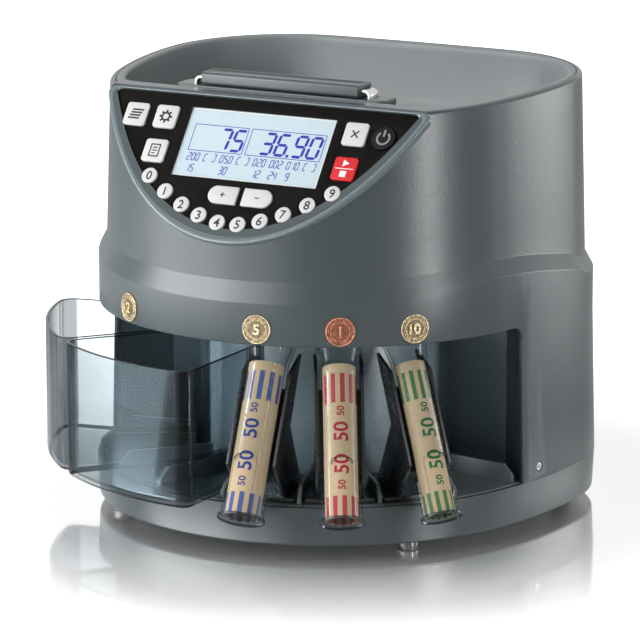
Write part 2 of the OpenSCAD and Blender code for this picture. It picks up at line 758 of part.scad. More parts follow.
// Electronics on the bay floor behind the wall, and the sockets in the back
board_x = -85;
board_y = 68;
board_w = 76;
board_l = 56;
standoff_h = 10;
supply_w = 66;
supply_l = 52;
supply_h = 42;
module main_board() {
    color([0.1, 0.35, 0.2]) translate([board_x, board_y, deck_top]) {
        slab(standoff_h, standoff_h + board_t) square([board_w, board_l], center = true);
        for (x = [-1, 1]) for (y = [-1, 1])
            translate([x * (board_w / 2 - 5), y * (board_l / 2 - 5)]) rod(7, 0, standoff_h + board_t / 2);
        box(-14, 14, -14, 14, standoff_h + board_t / 2, standoff_h + board_t + 3);
        box(20, 32, -22, 22, standoff_h + board_t / 2, standoff_h + board_t + 10);
    }
}
module power_supply() {
    color(steel) translate([-board_x, board_y, deck_top]) {
        box(-supply_w / 2, supply_w / 2, -supply_l / 2, supply_l / 2, 0, supply_h * 0.3);
        box(-supply_w / 3, supply_w / 3, -supply_l / 2.6, supply_l / 2.6, 0, supply_h);
    }
}
module rear_port(x, w, h, depth) {
    translate([x, rear_y, port_z]) {
        box(-w / 2, w / 2, -depth, 1, -h / 2, h / 2);
        box(-w / 2 - 3, w / 2 + 3, 0.3, 2.3, -h / 2 - 3, h / 2 + 3);
    }
}
module rear_ports() {
    color(dark) {
        difference() {
            rear_port(port_x, inlet_w, inlet_h, 24);
            translate([port_x, rear_y, port_z]) box(-inlet_w / 2 + 2, inlet_w / 2 - 2, -16, 4,
                -inlet_h / 2 + 2, inlet_h / 2 - 2);
        }
        rear_port(-port_x, serial_w, serial_h, 14);
    }
}

// Round coin labels on the skirt over five of the bays
label_d = 18.5;
label_t = 1.2;
label_z = skirt_z + 10.4;
label_azimuths = [-71.5, -30, 10, 30, 48];
module coin_labels() {
    face = front_r - skirt_inset;
    color([0.8, 0.66, 0.4]) difference() {
        for (a = label_azimuths) at_azimuth(a) translate([0, 0, label_z]) rotate([0, 90, 0])
            rod(label_d, face - 2 * label_t, face + label_t);
        translate([0, 0, skirt_z - cut]) cylinder(r = face + seat / 3, h = skirt_h + 2 * cut, $fn = 720);
    }
}

// Lifting handle: a grip on two steel straps that slide in a guide behind the rim
guide_y0 = land_rear + flange_w + 0.9;
guide_d = 21;
guide_l = grip_l + 38;
guide_top = rim_top(guide_y0) + 0.8;
guide_bottom = rim_top(guide_y0) - hopper_straight + 4;
handle_y = guide_y0 + guide_d / 2;
strap_x = grip_l / 2 + 6;
strap_bend = 4;
grip_z = guide_top + run;
strap_z = grip_z + grip_h / 2;
strap_foot = 1.2;
foot_t = 3;
foot_z = guide_bottom + 2;
stop_z = foot_z + foot_t + handle_lift + 0.5;
module handle_grip() {
    color(slate) translate([0, handle_y, grip_z]) difference() {
        rotate([90, 0, 90]) translate([0, grip_h / 2]) linear_extrude(grip_l, center = true)
            rounded_rect(grip_d, grip_h, 2);
        for (s = [-1, 1]) translate([s * grip_l / 2, 0, grip_h / 2])
            cube([20, strap_w + 2 * seat, strap_t + 2 * seat], center = true);
    }
}
module handle_straps() {
    color(steel) for (s = [0, 1]) mirror([s, 0, 0]) translate([0, handle_y]) {
        box(grip_l / 2 - 9, strap_x + strap_t / 2 - strap_bend, -strap_w / 2, strap_w / 2,
            strap_z - strap_t / 2, strap_z + strap_t / 2);
        box(strap_x - strap_t / 2, strap_x + strap_t / 2, -strap_w / 2, strap_w / 2,
            foot_z, strap_z + strap_t / 2 - strap_bend);
        translate([strap_x + strap_t / 2 - strap_bend, 0, strap_z + strap_t / 2 - strap_bend])
            rotate([90, 0, 0]) linear_extrude(strap_w, center = true) intersection() {
                difference() {
                    circle(strap_bend);
                    circle(strap_bend - strap_t);
                }
                square(2 * strap_bend);
            }
        box(strap_x - strap_t / 2, strap_x + strap_t / 2, -strap_w / 2 - strap_foot,
            strap_w / 2 + strap_foot, foot_z, foot_z + foot_t);
    }
}
module handle_guide() {
    slot_x = strap_t / 2 + run;
    slot_y = strap_w / 2 + run;
    color(slate) translate([0, handle_y]) difference() {
        slab(guide_bottom, guide_top) rounded_rect(guide_l, guide_d, 5);
        for (s = [-1, 1]) translate([s * strap_x, 0]) {
            box(-slot_x, slot_x, -slot_y, slot_y, guide_bottom - cut, guide_top + cut);
            box(-slot_x, slot_x, -slot_y - strap_foot, slot_y + strap_foot, guide_bottom - cut, stop_z);
        }
    }
}

// Sector outline in the frame of its own mid azimuth, with parallel margins and round corners
corner_count = 5;
function arc_pts(c, r, a0, a1) =
    [for (i = [0:corner_count]) let (a = a0 + (a1 - a0) * i / corner_count) c + r * [cos(a), sin(a)]];
function sector(r_in, r_out, half, margin, c_out, c_in) =
    let (b = half - asin((margin + c_out) / (r_out - c_out)),
        d = half - asin((margin + c_in) / (r_in + c_in)),
        po = (r_out - c_out) * [cos(b), sin(b)], pi = (r_in + c_in) * [cos(d), sin(d)],
        mo = [po[0], -po[1]], mi = [pi[0], -pi[1]])
    concat([for (i = [1:8]) let (a = b * (2 * i / 9 - 1)) r_out * [cos(a), sin(a)]],
        arc_pts(po, c_out, b, half + 90), arc_pts(pi, c_in, half + 90, 180 + d),
        [for (i = [1:4]) let (a = d * (1 - 2 * i / 5)) r_in * [cos(a), sin(a)]],
        arc_pts(mi, c_in, 180 - d, 270 - half), arc_pts(mo, c_out, -half - 90, -b));

// Coin cups: each spans two bays and straddles the rib between them
cup_z = deck_top + run;
cup_in = drum_r + drum_t + 1.5;
cup_margin = rib_t / 2 + rib_gap;
cup_corner = 9;
cup_inner_corner = 4;
channel_w = rib_t + 2 * rib_gap;
channel_z = deck_top + rib_h + rib_gap;
channel_out = rib_out + 2;
module coin_cup(azimuth) {
    color(smoke) at_azimuth(azimuth) difference() {
        union() {
            difference() {
                slab(cup_z, cup_z + cup_h)
                    polygon(sector(cup_in, cup_r, bay_pitch, cup_margin, cup_corner, cup_inner_corner));
                slab(cup_z + cup_wall, cup_z + cup_h + cut)
                    polygon(sector(cup_in + cup_wall, cup_r - cup_wall, bay_pitch, cup_margin + cup_wall,
                        cup_corner - cup_wall, cup_inner_corner - cup_wall));
            }
            box(cup_in + cup_wall / 2, channel_out + cup_wall, -channel_w / 2 - cup_wall,
                channel_w / 2 + cup_wall, cup_z + cup_wall / 2, channel_z + cup_wall);
        }
        box(cup_in - cut, channel_out, -channel_w / 2, channel_w / 2, cup_z - cut, channel_z);
    }
}
module cup_front() { coin_cup(-bay_pitch); }
module cup_rear() { coin_cup(-3 * bay_pitch); }

// Roll tubes: a clear tube in a leaning stand, with an open paper wrapper inside
tube_bays = [4, 5, 6];
roll_top = deck_top + roll_z;
tube_floor = 2;
tube_rim = 1.5;
funnel_l = 22;
funnel_grow = 5;
funnel_top = skirt_z - 2.2;
stand_gap = 0.4;
stand_horn = [-22, 8];
stand_heel = 26;
foot_plate_t = 3;
stand_foot_z = deck_top + 0.2;
function tube_d(i) = roll_d[i] + 2 * roll_gap + 2 * tube_wall;
module on_tube(i) {
    at_azimuth(exit_azimuths[tube_bays[i]]) translate([roll_r, 0, roll_top])
        rotate([0, -tube_tilt, 0]) children();
}
function tube_rz(s) = [roll_r + s * sin(tube_tilt), roll_top - s * cos(tube_tilt)];
module coin_tube(i) {
    od = tube_d(i);
    id = od - 2 * tube_wall;
    color(clear) difference() {
        on_tube(i) difference() {
            union() {
                rod(od, -roll_l - tube_floor, 4);
                rod(od + 2 * tube_rim, -roll_l - tube_floor, -roll_l);
                translate([0, 0, 3]) cylinder(d1 = od, d2 = od + 2 * funnel_grow, h = funnel_l);
            }
            rod(id, -roll_l, 4 + cut);
            translate([0, 0, 3]) cylinder(d1 = id, d2 = id + 2 * funnel_grow, h = funnel_l + cut / 10);
            box(0, od, -slot_w / 2, slot_w / 2, -roll_l, -roll_l + slot_h);
        }
        slab(funnel_top, funnel_top + 3 * funnel_l) circle(cup_r);
    }
}
module roll_wrapper(i) {
    d = roll_d[i];
    color([0.76, 0.66, 0.48]) on_tube(i) difference() {
        rod(d, -roll_l, 0);
        rod(d - 2 * paper_t, -roll_l + paper_t, cut);
    }
}
module tube_stand(i) {
    x0 = tube_d(i) / 2 + stand_gap;
    front_top = tube_rz(4);
    front_low = tube_rz(roll_l * 0.66);
    waist = tube_rz(roll_l * 0.33) - (x0 + stand_t) * [cos(tube_tilt), sin(tube_tilt)];
    foot_top = stand_foot_z + foot_plate_t / 2;
    foot_in = drum_r + drum_t + 4;
    at = exit_azimuths[tube_bays[i]];
    color(dark) {
        at_azimuth(at) slab(stand_foot_z, stand_foot_z + foot_plate_t)
            polygon(sector(foot_in, rib_out - 1, bay_pitch / 2, cup_margin, 3, 2));
        at_azimuth(at) for (s = [-1, 1]) translate([0, s * (x0 + stand_t / 2), 0]) rotate([90, 0, 0])
            linear_extrude(stand_t, center = true) polygon([front_top + stand_horn, waist,
                [foot_in + stand_heel, foot_top], [rib_out - 4, foot_top], front_low, front_top]);
        on_tube(i) box(-x0 - stand_t, -x0, -x0 - stand_t / 2, x0 + stand_t / 2,
            -roll_l * 0.66, -roll_l * 0.1);
    }
}

base_tray();
rubber_feet();
bay_floor();
bay_wall();
jamb_panels();
main_housing();
upper_chassis();
hopper_bowl();
panel_plate();
panel_overlay();
display_glass();
display_module();
key_board();
for (i = [0:len(keys) - 1]) panel_key(i);
sort_ring();
exit_chutes();
coin_disc();
hub_cap();
spindle();
bearings();
disc_pulley();
drive_motor();
motor_pulley();
drive_belt();
main_board();
power_supply();
rear_ports();
coin_labels();
housing_screws();
handle_grip();
handle_straps();
handle_guide();
cup_front();
cup_rear();
for (i = [0:2]) tube_stand(i);
for (i = [0:2]) coin_tube(i);
for (i = [0:2]) roll_wrapper(i);
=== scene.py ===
"""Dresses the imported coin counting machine: shells, key panel, cups, tubes, rolls and studio."""

import json
import math

import bmesh
import bpy
from mathutils import Matrix, Vector

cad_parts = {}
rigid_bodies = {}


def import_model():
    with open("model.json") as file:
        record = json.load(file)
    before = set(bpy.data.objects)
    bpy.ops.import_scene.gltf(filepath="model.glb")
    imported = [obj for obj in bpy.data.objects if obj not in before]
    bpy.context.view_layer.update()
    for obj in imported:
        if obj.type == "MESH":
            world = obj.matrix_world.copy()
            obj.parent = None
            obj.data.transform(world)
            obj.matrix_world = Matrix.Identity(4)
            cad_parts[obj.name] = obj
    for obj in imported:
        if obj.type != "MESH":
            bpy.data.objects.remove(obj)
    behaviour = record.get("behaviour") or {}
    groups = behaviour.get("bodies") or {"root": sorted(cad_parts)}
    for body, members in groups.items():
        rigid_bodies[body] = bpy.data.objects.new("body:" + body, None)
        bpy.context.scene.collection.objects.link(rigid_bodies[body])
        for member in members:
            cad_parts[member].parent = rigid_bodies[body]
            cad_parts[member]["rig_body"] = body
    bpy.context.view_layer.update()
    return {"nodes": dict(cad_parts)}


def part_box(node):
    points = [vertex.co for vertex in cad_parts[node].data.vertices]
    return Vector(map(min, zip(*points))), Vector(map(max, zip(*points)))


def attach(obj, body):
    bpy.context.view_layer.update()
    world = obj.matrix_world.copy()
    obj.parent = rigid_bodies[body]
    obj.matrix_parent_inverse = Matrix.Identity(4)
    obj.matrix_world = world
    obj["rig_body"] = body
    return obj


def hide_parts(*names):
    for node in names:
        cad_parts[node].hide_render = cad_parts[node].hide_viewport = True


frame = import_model()

# Sizes are in millimetres and angles in degrees; a mesh is scaled to metres when it is made
MM = 0.001
WELD = 1e-4
PRINT_T = 0.05
SMOOTH_ANGLE = 32.0

# Clean copies of the solids, whose meshes are in metres
SOLID_WELD = 2e-6
FLAT_ANGLE = 0.4

# Plan outline of the body
FRONT_R = 153.9
SIDE_R = 302.4
CORNER_R = 98.8
FRONT_SWEEP = 73.5
SIDE_SWEEP = 91.0
CORNER_SWEEP = 178.0
OPENING_SWEEP = 77.2
OPENING_FILLET = 8.0
OPENING_SOFT = 0.9
SEAM_SOFT = 0.35
FRONT_STEPS = 44
FILLET_STEPS = 8
WALL = 3.0

# Levels and insets of the shells
FOOT_H = 7.0
BASE_TOP = 32.5
BASE_FLOOR = 2.5
DECK_TOP = 33.0
SKIRT_Z = 135.2
BAND_Z = 161.7
UPPER_Z = 174.5
RIM_Z = 281.9
RIM_SLOPE = 0.018
RISE_SWEEP = 70.0
BAND_RISE = 6.5
BAND_TAPER = 2.5
BAND_DROP = 16.5
DROP_FROM = 74.0
DROP_SPAN = 28.0
BASE_INSET = 1.3
SKIRT_INSET = 2.2
UPPER_INSET = 7.7
RIM_INSET = 10.9
LIP_INSET = 14.6
LIP_DEPTH = 6.0
LEDGE_FROM = 52.0
LEDGE_SPAN = 8.0
LEDGE_W = 2.7
LEDGE_H = 3.5
NECK_H = 10.5
BAND_LOW_R = 2.0
BAND_TOP_R = 2.6
RIM_R = 2.4
LIP_R = 0.7

# Screws in the housing's wall
SCREW_ANGLES = (80.5, 140.0, -80.5, -140.0)
SCREW_Z = 40.5
SCREW_HOLE_R = 3.15
SCREW_HOLE_DEPTH = 2.8
SCREW_SINK = 2.2
SCREW_HEAD_R = 2.95
SCREW_HEAD_H = 1.6
SCREW_TAPER = 0.86
RECESS_W = 0.28
RECESS_L = 1.25

# Hopper bowl and disc studs
FLANGE_GAP = 0.3
FLANGE_W = 5.2
FLANGE_SOFT = 3.0
BOWL_WALL = 2.4
BOWL_STEP = 0.8
BOWL_DEPTH = 36.0
BOWL_SOFT = 8.0
THROAT_R = 94.0
THROAT_Z = 168.0
THROAT_EASE = 0.35
STUD_RING = 72.0
STUD_R = 3.0
STUD_H = 1.2
STUD_PITCH = 30

# Bays and cups
BAY_PITCH = 20.0
RIB_T = 2.5
RIB_GAP = 0.6
RIB_H = 11.0
RIB_OUT = 147.3
DRUM_R = 80.5
CUP_R = 187.0
CUP_LIFT = 0.3
CUP_GAP = 1.5
CUP_H = 89.0
CUP_WALL = 2.2
CUP_SOFT = 5.5
CUP_CORNER = 9.5
CUP_BACK_CORNER = 8.6
CUP_LIP = ((0.0, 0.5), (0.18, 0.1), (0.6, 0.0))
TUNNEL_SLOPE = 8.0
TUNNEL_NOSE = 5.0

# Tubes and rolls
TUBE_TILT = 31.0
TUBE_AZIMUTHS = (10.0, 30.0, 50.0)
TUBE_WALL = 1.9
TUBE_BOTTOM = 2.0
TUBE_RIM = 1.5
MOUTH_FROM = 3.0
MOUTH_L = 25.0
MOUTH_FLARE = 5.0
MOUTH_TOP = 133.0
DRAIN_R = 0.4
SLOT_L = 38.0
SLOT_W = 15.0
ROLL_R = 131.0
ROLL_TOP = 117.5
ROLL_L = 100.0
ROLL_D = (23.0, 21.2, 19.0)
ROLL_GAP = 0.4
PAPER_T = 0.7
CRIMP_W = 2.2
ROLL_NUMBERS = ((13.0, -44.5), (13.0, -65.5), (6.5, -31.0), (6.5, -79.0))
ROLL_NUMBER_LIFT = 0.03

# Control panel plane and its parts
PANEL_TILT = 37.2
PANEL_Y = -130.1
PANEL_Z = 221.5
PANEL_TOP = 70.9
PANEL_GAP = 0.3
BEZEL_W = 4.1
BEZEL_PROUD = 2.6
BEZEL_POINTS = 400
LAND_Q = 73.06
LAND_REAR = -78.03
LAND_DEPTH = 5.6
LAND_H = 9.4
OVERLAY_TOP = -1.0
KEY_TOP = 0.3
KEY_SOFT = 0.75
KEY_DIGIT = 8.4
GRID_X = 0.7

# Display, about its own centre; a digit style is its height, stroke, pitch and width
LCD_Q = 38.8
LCD_W = 104.0
LCD_H = 49.0
LCD_GAP = 0.2
LCD_CORNER = 0.6
LCD_BORDER = 0.9
LCD_BORDER_INSET = 0.7
LCD_LAYER = 0.02
LCD_T = 2.0
GLASS_T = 1.2
TOTAL_BOXES = ((-46.0, -5.5, -7.5, 13.0), (-5.0, -5.5, 48.0, 13.0))
TOTAL_STROKE = 0.45
TOTALS = (("75", -27.0), ("36.90", 4.6))
GROUPS = ("200", "[ ]", "050", "[ ]", "020", "002", "010", "[ ]")
COUNTS = ("15", "", "30", "", "12", "24", "9", "")
LARGE_DIGIT = (14.4, 1.9, 10.2, 6.9)
SMALL_DIGIT = (5.2, 0.6, 3.1, 2.0)
DIGIT_LEAN = 0.12
DOT_ROOM = 2.4
TOTAL_Y = -3.6
GROUP_Y = -12.6
COUNT_Y = -20.6
GROUP_X = -45.0
GROUP_PITCH = 11.9
COUNT_X = 1.5

# Coin labels: centre height over the skirt's edge, and a profile of radius shares and heights
LABEL_R = 9.25
LABEL_RISE = 10.4
LABEL_PROFILE = ((1.0, 0.08), (1.0, 0.8), (0.975, 1.12), (0.93, 1.15), (0.90, 0.85), (0.80, 0.62),
                 (0.69, 0.62), (0.675, 0.85), (0.645, 0.85), (0.63, 0.6), (0.30, 0.62), (0.06, 0.64))
LABEL_SUNK_ROWS = (4, 5, 9, 10, 11)
LABEL_POINTS = 96
LABEL_DIGIT = 9.4
LABEL_DIGIT_Z = 0.9
LABEL_DIGIT_STRETCH = 14.0
BEAD_COUNT = 40
BEAD_RING = 0.79
BEAD_Z = 0.62
BEAD_R = 0.42
BEAD_H = 0.36

# Lamps in metres: name, azimuth, distance, height, width, tallness, radiance, shown in gloss or not
SOFTBOXES = (
    ("left_softbox", -45.0, 1.35, 0.42, 1.15, 0.84, 5.0, True),
    ("fade_softbox", -8.0, 1.35, 0.50, 0.55, 1.00, 1.9, True),
    ("band_softbox", -20.0, 1.3, 0.84, 0.7, 0.34, 3.0, True),
    ("high_softbox", -46.0, 1.3, 0.70, 1.2, 0.4, 3.4, True),
    ("low_softbox", -72.0, 1.2, 0.16, 0.5, 0.3, 14.0, False),
    ("strip_softbox", 75.5, 1.35, 0.20, 0.13, 0.40, 25.0, True),
    ("upper_strip", 77.0, 1.35, 0.84, 0.13, 0.34, 24.0, True),
    ("right_softbox", 136.0, 1.35, 0.20, 0.6, 0.40, 4.2, True),
    ("top_softbox", -60.0, 0.7, 1.7, 1.0, 1.0, 0.9, True),
)
AIM_TOP = 0.6

# Floor and backdrop: distances in metres, the rest are shares
FLOOR_HALF = 9.0
# Floor glow is weaker close to the machine and grows with distance: painted shade round the base, even white
# further out
FLOOR_GLOW = 0.3
GLOW_GAIN = 2.2
GLOW_IN_GLOSS = 0.1
POLISH = 0.88
POLISH_REACH = 0.19
AMBIENT = 0.06
FRONT_SKY = 0.5

# Camera fitted to the photograph
VIEW_AZIMUTH = 27.75
VIEW_RISE = 12.52
VIEW_FOCUS = (0.0, 11.31, 126.25)
VIEW_DISTANCE = 2983.3
VIEW_PIXELS = 4534.78
VIEW_SHIFT = (19.093, 14.091)
PHOTO_PIXELS = 640.0
SENSOR = 36.0


# Plain geometry


def heading(angle):
    """Unit vector in plan at an angle from the front, positive towards +X."""
    turn = math.radians(angle)
    return Vector((math.sin(turn), -math.cos(turn)))


def ray(length, angle):
    """Plane vector of a length at an angle from +X."""
    turn = math.radians(angle)
    return length * Vector((math.cos(turn), math.sin(turn)))


def turned(angle, axis):
    return Matrix.Rotation(math.radians(angle), 4, axis)


def shifted(x, y, z):
    return Matrix.Translation((x, y, z))


def raised(points, z):
    """Plane points set at a height."""
    return [Vector((p[0], p[1], z)) for p in points]


def smooth(t):
    t = min(1.0, max(0.0, t))
    return t * t * (3.0 - 2.0 * t)


def spread(first, last, steps):
    return [first + (last - first) * i / steps for i in range(steps + 1)]


SIDE_C = (FRONT_R - SIDE_R) * heading(FRONT_SWEEP)
CORNER_C = SIDE_C + (SIDE_R - CORNER_R) * heading(SIDE_SWEEP)
REAR_R = CORNER_R + CORNER_C.x / math.sin(math.radians(CORNER_SWEEP))
REAR_C = CORNER_C + (CORNER_R - REAR_R) * heading(CORNER_SWEEP)


def edge_point(angle, inset):
    """Point of the body's outline at a normal angle, moved inward by an inset."""
    turn = abs(angle)
    if turn <= FRONT_SWEEP:
        centre, radius = Vector((0.0, 0.0)), FRONT_R
    elif turn <= SIDE_SWEEP:
        centre, radius = SIDE_C, SIDE_R
    elif turn <= CORNER_SWEEP:
        centre, radius = CORNER_C, CORNER_R
    else:
        centre, radius = REAR_C, REAR_R
    p = centre + (radius - inset) * heading(turn)
    return Vector((-p.x if angle < 0 else p.x, p.y))


def rim_top(y):
    return RIM_Z + RIM_SLOPE * y


FILLET_SPAN = math.degrees(OPENING_FILLET / SIDE_R)
HALF_ANGLES = (
    spread(0.0, FRONT_SWEEP, FRONT_STEPS)
    + [OPENING_SWEEP - FILLET_SPAN * (1.0 - math.sin(math.pi / 2 * i / FILLET_STEPS))
       for i in range(FILLET_STEPS)]
    + spread(OPENING_SWEEP, SIDE_SWEEP, 8)
    + spread(SIDE_SWEEP, CORNER_SWEEP, 40)[1:]
    + spread(CORNER_SWEEP, 180.0, 4)[1:]
)
JAMB = FRONT_STEPS + 1 + FILLET_STEPS
ANGLES = HALF_ANGLES + [-a for a in HALF_ANGLES[-2:0:-1]]
COUNT = len(ANGLES)


def rounded(corners, steps=4):
    """Open run of (x, y, radius) corners, each replaced by an arc of that radius."""
    out = []
    for i, (x, y, radius) in enumerate(corners):
        here = Vector((x, y))
        if radius <= 0.0 or i in (0, len(corners) - 1):
            out.append(here)
            continue
        before = (Vector(corners[i - 1][:2]) - here).normalized()
        after = (Vector(corners[i + 1][:2]) - here).normalized()
        half = before.angle(after) / 2.0
        reach = radius / math.tan(half)
        start = here + before * reach
        end = here + after * reach
        centre = here + (before + after).normalized() * (radius / math.sin(half))
        for k in range(steps + 1):
            mix = start.lerp(end, k / steps) - centre
            out.append(centre + mix.normalized() * radius)
    return out


def rounded_loop(corners, steps=6):
    """Closed outline with round corners."""
    ring = [corners[-1]] + list(corners) + [corners[0]]
    return rounded(ring, steps)[1:-1]


def resample(loop, count):
    """Evenly spaced points along a closed outline."""
    ends = loop[1:] + loop[:1]
    lengths = [(b - a).length for a, b in zip(loop, ends)]
    total = sum(lengths)
    out = []
    i = 0
    passed = 0.0
    for k in range(count):
        want = total * k / count
        while passed + lengths[i] < want:
            passed += lengths[i]
            i += 1
        out.append(loop[i].lerp(ends[i], (want - passed) / max(lengths[i], 1e-9)))
    return out


def at_azimuth(azimuth):
    """Frame whose +X points outward at an azimuth round the spindle."""
    return turned(azimuth - 90.0, "Z")


def at_edge(angle, z):
    """Frame on the body's outline: +Z outward along the normal, +Y up."""
    return shifted(*edge_point(angle, 0.0), z) @ turned(angle, "Z") @ turned(90.0, "X")


PANEL = shifted(0.0, PANEL_Y, PANEL_Z) @ turned(90.0 - PANEL_TILT, "X")


def on_display(height):
    """Frame at the display's centre, at a height over the panel plane."""
    return PANEL @ shifted(GRID_X, LCD_Q, height)


def on_tube(i):
    """Frame of a tube: +Z up its axis from the roll's top end, +X outward."""
    return at_azimuth(TUBE_AZIMUTHS[i]) @ shifted(ROLL_R, 0.0, ROLL_TOP) @ turned(-TUBE_TILT, "Y")


# Shader building


class Wire:
    """A shader value with arithmetic; each operation adds a Math node."""

    def __init__(self, tree, socket):
        self.tree = tree
        self.socket = socket

    def maths(self, operation, *values):
        node = self.tree.nodes.new("ShaderNodeMath")
        node.operation = operation
        for slot, value in zip(node.inputs, values):
            plug(self.tree, slot, value)
        return Wire(self.tree, node.outputs[0])

    def __add__(self, other):
        return self.maths("ADD", self, other)

    __radd__ = __add__

    def __sub__(self, other):
        return self.maths("SUBTRACT", self, other)

    def __rsub__(self, other):
        return self.maths("SUBTRACT", other, self)

    def __mul__(self, other):
        return self.maths("MULTIPLY", self, other)

    __rmul__ = __mul__

    def __truediv__(self, other):
        return self.maths("DIVIDE", self, other)

    def __gt__(self, other):
        return self.maths("GREATER_THAN", self, other)

    def __lt__(self, other):
        return self.maths("LESS_THAN", self, other)

    def __pow__(self, other):
        return self.maths("POWER", self, other)

    def fract(self):
        return self.maths("FRACT", self)

    def clamp(self):
        return self.maths("MINIMUM", self.maths("MAXIMUM", self, 0.0), 1.0)


def plug(tree, slot, value):
    """Links a wire to a socket, or sets the socket's own value."""
    if isinstance(value, Wire):
        tree.links.new(value.socket, slot)
    elif isinstance(value, tuple) and len(value) == 3 and len(getattr(slot, "default_value", value)) == 4:
        slot.default_value = (*value, 1.0)
    else:
        slot.default_value = value


class Tree:
    """A node tree, and one way to add any node to it."""

    def __init__(self, tree):
        self.tree = tree

    def node(self, kind, settings=None, output=0, **sockets):
        node = self.tree.nodes.new(kind)
        for key, value in (settings or {}).items():
            setattr(node, key, value)
        for key, value in sockets.items():
            plug(self.tree, node.inputs[key.replace("_", " ")], value)
        return Wire(self.tree, node.outputs[output])


class Paint(Tree):
    """One material: a Principled surface and the nodes that feed it."""

    def __init__(self, name, colour, roughness, metallic=0.0, gloss=0.5):
        self.material = bpy.data.materials.new(name)
        self.material.use_nodes = True
        self.material.diffuse_color = (*colour, 1.0)
        super().__init__(self.material.node_tree)
        self.surface = self.tree.nodes["Principled BSDF"]
        self.output = self.tree.nodes["Material Output"]
        self.set("Base Color", colour)
        self.set("Roughness", roughness)
        self.set("Metallic", metallic)
        self.set("Specular IOR Level", gloss)

    def set(self, socket, value):
        plug(self.tree, self.surface.inputs[socket], value)

    def place(self):
        return self.node("ShaderNodeTexCoord", output="Object")

    def axes(self, vector):
        split = self.node("ShaderNodeSeparateXYZ", Vector=vector)
        outputs = split.socket.node.outputs
        return [Wire(self.tree, socket) for socket in outputs]

    def noise(self, scale, detail=2.0, roughness=0.5):
        return self.node("ShaderNodeTexNoise", Vector=self.place(), Scale=scale, Detail=detail,
                         Roughness=roughness)

    def blend(self, factor, first, second):
        node = self.tree.nodes.new("ShaderNodeMix")
        node.data_type = "RGBA"
        plug(self.tree, node.inputs["Factor"], factor)
        plug(self.tree, node.inputs[6], first)
        plug(self.tree, node.inputs[7], second)
        return Wire(self.tree, node.outputs[2])

    def mix(self, factor, first, second):
        """Mix of two shaders."""
        wire = self.node("ShaderNodeMixShader", Fac=factor)
        plug(self.tree, wire.socket.node.inputs[1], first)
        plug(self.tree, wire.socket.node.inputs[2], second)
        return wire

    def own_surface(self):
        return Wire(self.tree, self.surface.outputs[0])

    def finish(self, shader):
        plug(self.tree, self.output.inputs["Surface"], shader)

    def uneven(self, roughness, span, pattern):
        """Roughness that varies with a pattern by a span about its middle value."""
        self.set("Roughness", roughness - span / 2 + span * pattern)

    def bump(self, height, strength, distance):
        self.set("Normal", self.node("ShaderNodeBump", Height=height, Strength=strength, Distance=distance))


def grained_plastic(name, colour, roughness, grain=1.0, gloss=0.5):
    """Moulded plastic: fine spark-eroded grain, faint mottling and uneven gloss."""
    mottle = 0.06
    grain_scale = 650.0
    grain_depth = 0.0004
    paint = Paint(name, colour, roughness, gloss=gloss)
    height = paint.noise(grain_scale, 3.0, 0.6)
    cloud = paint.noise(22.0, 2.0)
    darker = tuple(c * (1.0 - mottle) for c in colour)
    lighter = tuple(min(1.0, c * (1.0 + mottle)) for c in colour)
    paint.set("Base Color", paint.blend(cloud, darker, lighter))
    paint.uneven(roughness, 0.1, height)
    paint.bump(height, 0.3 * grain, grain_depth)
    return paint.material


def brushed_metal(name, colour, roughness):
    """Metal with fine straight brushing from stretched noise."""
    stretch = (40.0, 900.0, 900.0)
    paint = Paint(name, colour, roughness, 1.0)
    across = paint.node("ShaderNodeMapping", Vector=paint.place(), Scale=stretch)
    lines = paint.node("ShaderNodeTexNoise", Vector=across, Scale=2.0, Detail=3.0)
    paint.uneven(roughness, 0.16, lines)
    paint.bump(lines, 0.08, 0.0002)
    return paint.material


def bright_chrome():
    """Plated strap metal, a little hazy."""
    roughness = 0.26
    paint = Paint("bright_chrome", (0.62, 0.62, 0.61), roughness, 1.0)
    paint.uneven(roughness, 0.08, paint.noise(300.0))
    return paint.material


def thin_clear(name, tint, edge_shade_colour, edge_shade_weight, gleam, solid=0.0, edge_gloss=0.1,
               shine_colour=(0.9, 0.96, 1.0)):
    """Clear moulding seen through: faint tint, hard gloss, and a dark surface where its wall is seen edge-on
    or where a fixed share is asked for, painted shade standing in for refraction in the thick wall.
    """
    falloff = 4.5
    haze = 0.006
    index = 1.45
    paint = Paint(name, edge_shade_colour, 0.04, gloss=edge_gloss)
    facing = paint.node("ShaderNodeLayerWeight", output="Facing", Blend=0.5)
    # Painted shade: a dark surface mixed in by how edge-on the wall is seen, plus a fixed share, in place of
    # refraction darkening
    weight = (solid + edge_shade_weight * facing ** falloff + haze * paint.noise(60.0)).clamp()
    glass = paint.node("ShaderNodeBsdfTransparent", Color=tint)
    sheen = paint.node("ShaderNodeBsdfGlossy", Color=shine_colour, Roughness=0.03)
    glint = paint.node("ShaderNodeFresnel", IOR=index)
    shine = paint.mix(gleam * glint, glass, sheen)
    paint.finish(paint.mix(weight, shine, paint.own_surface()))
    return paint.material


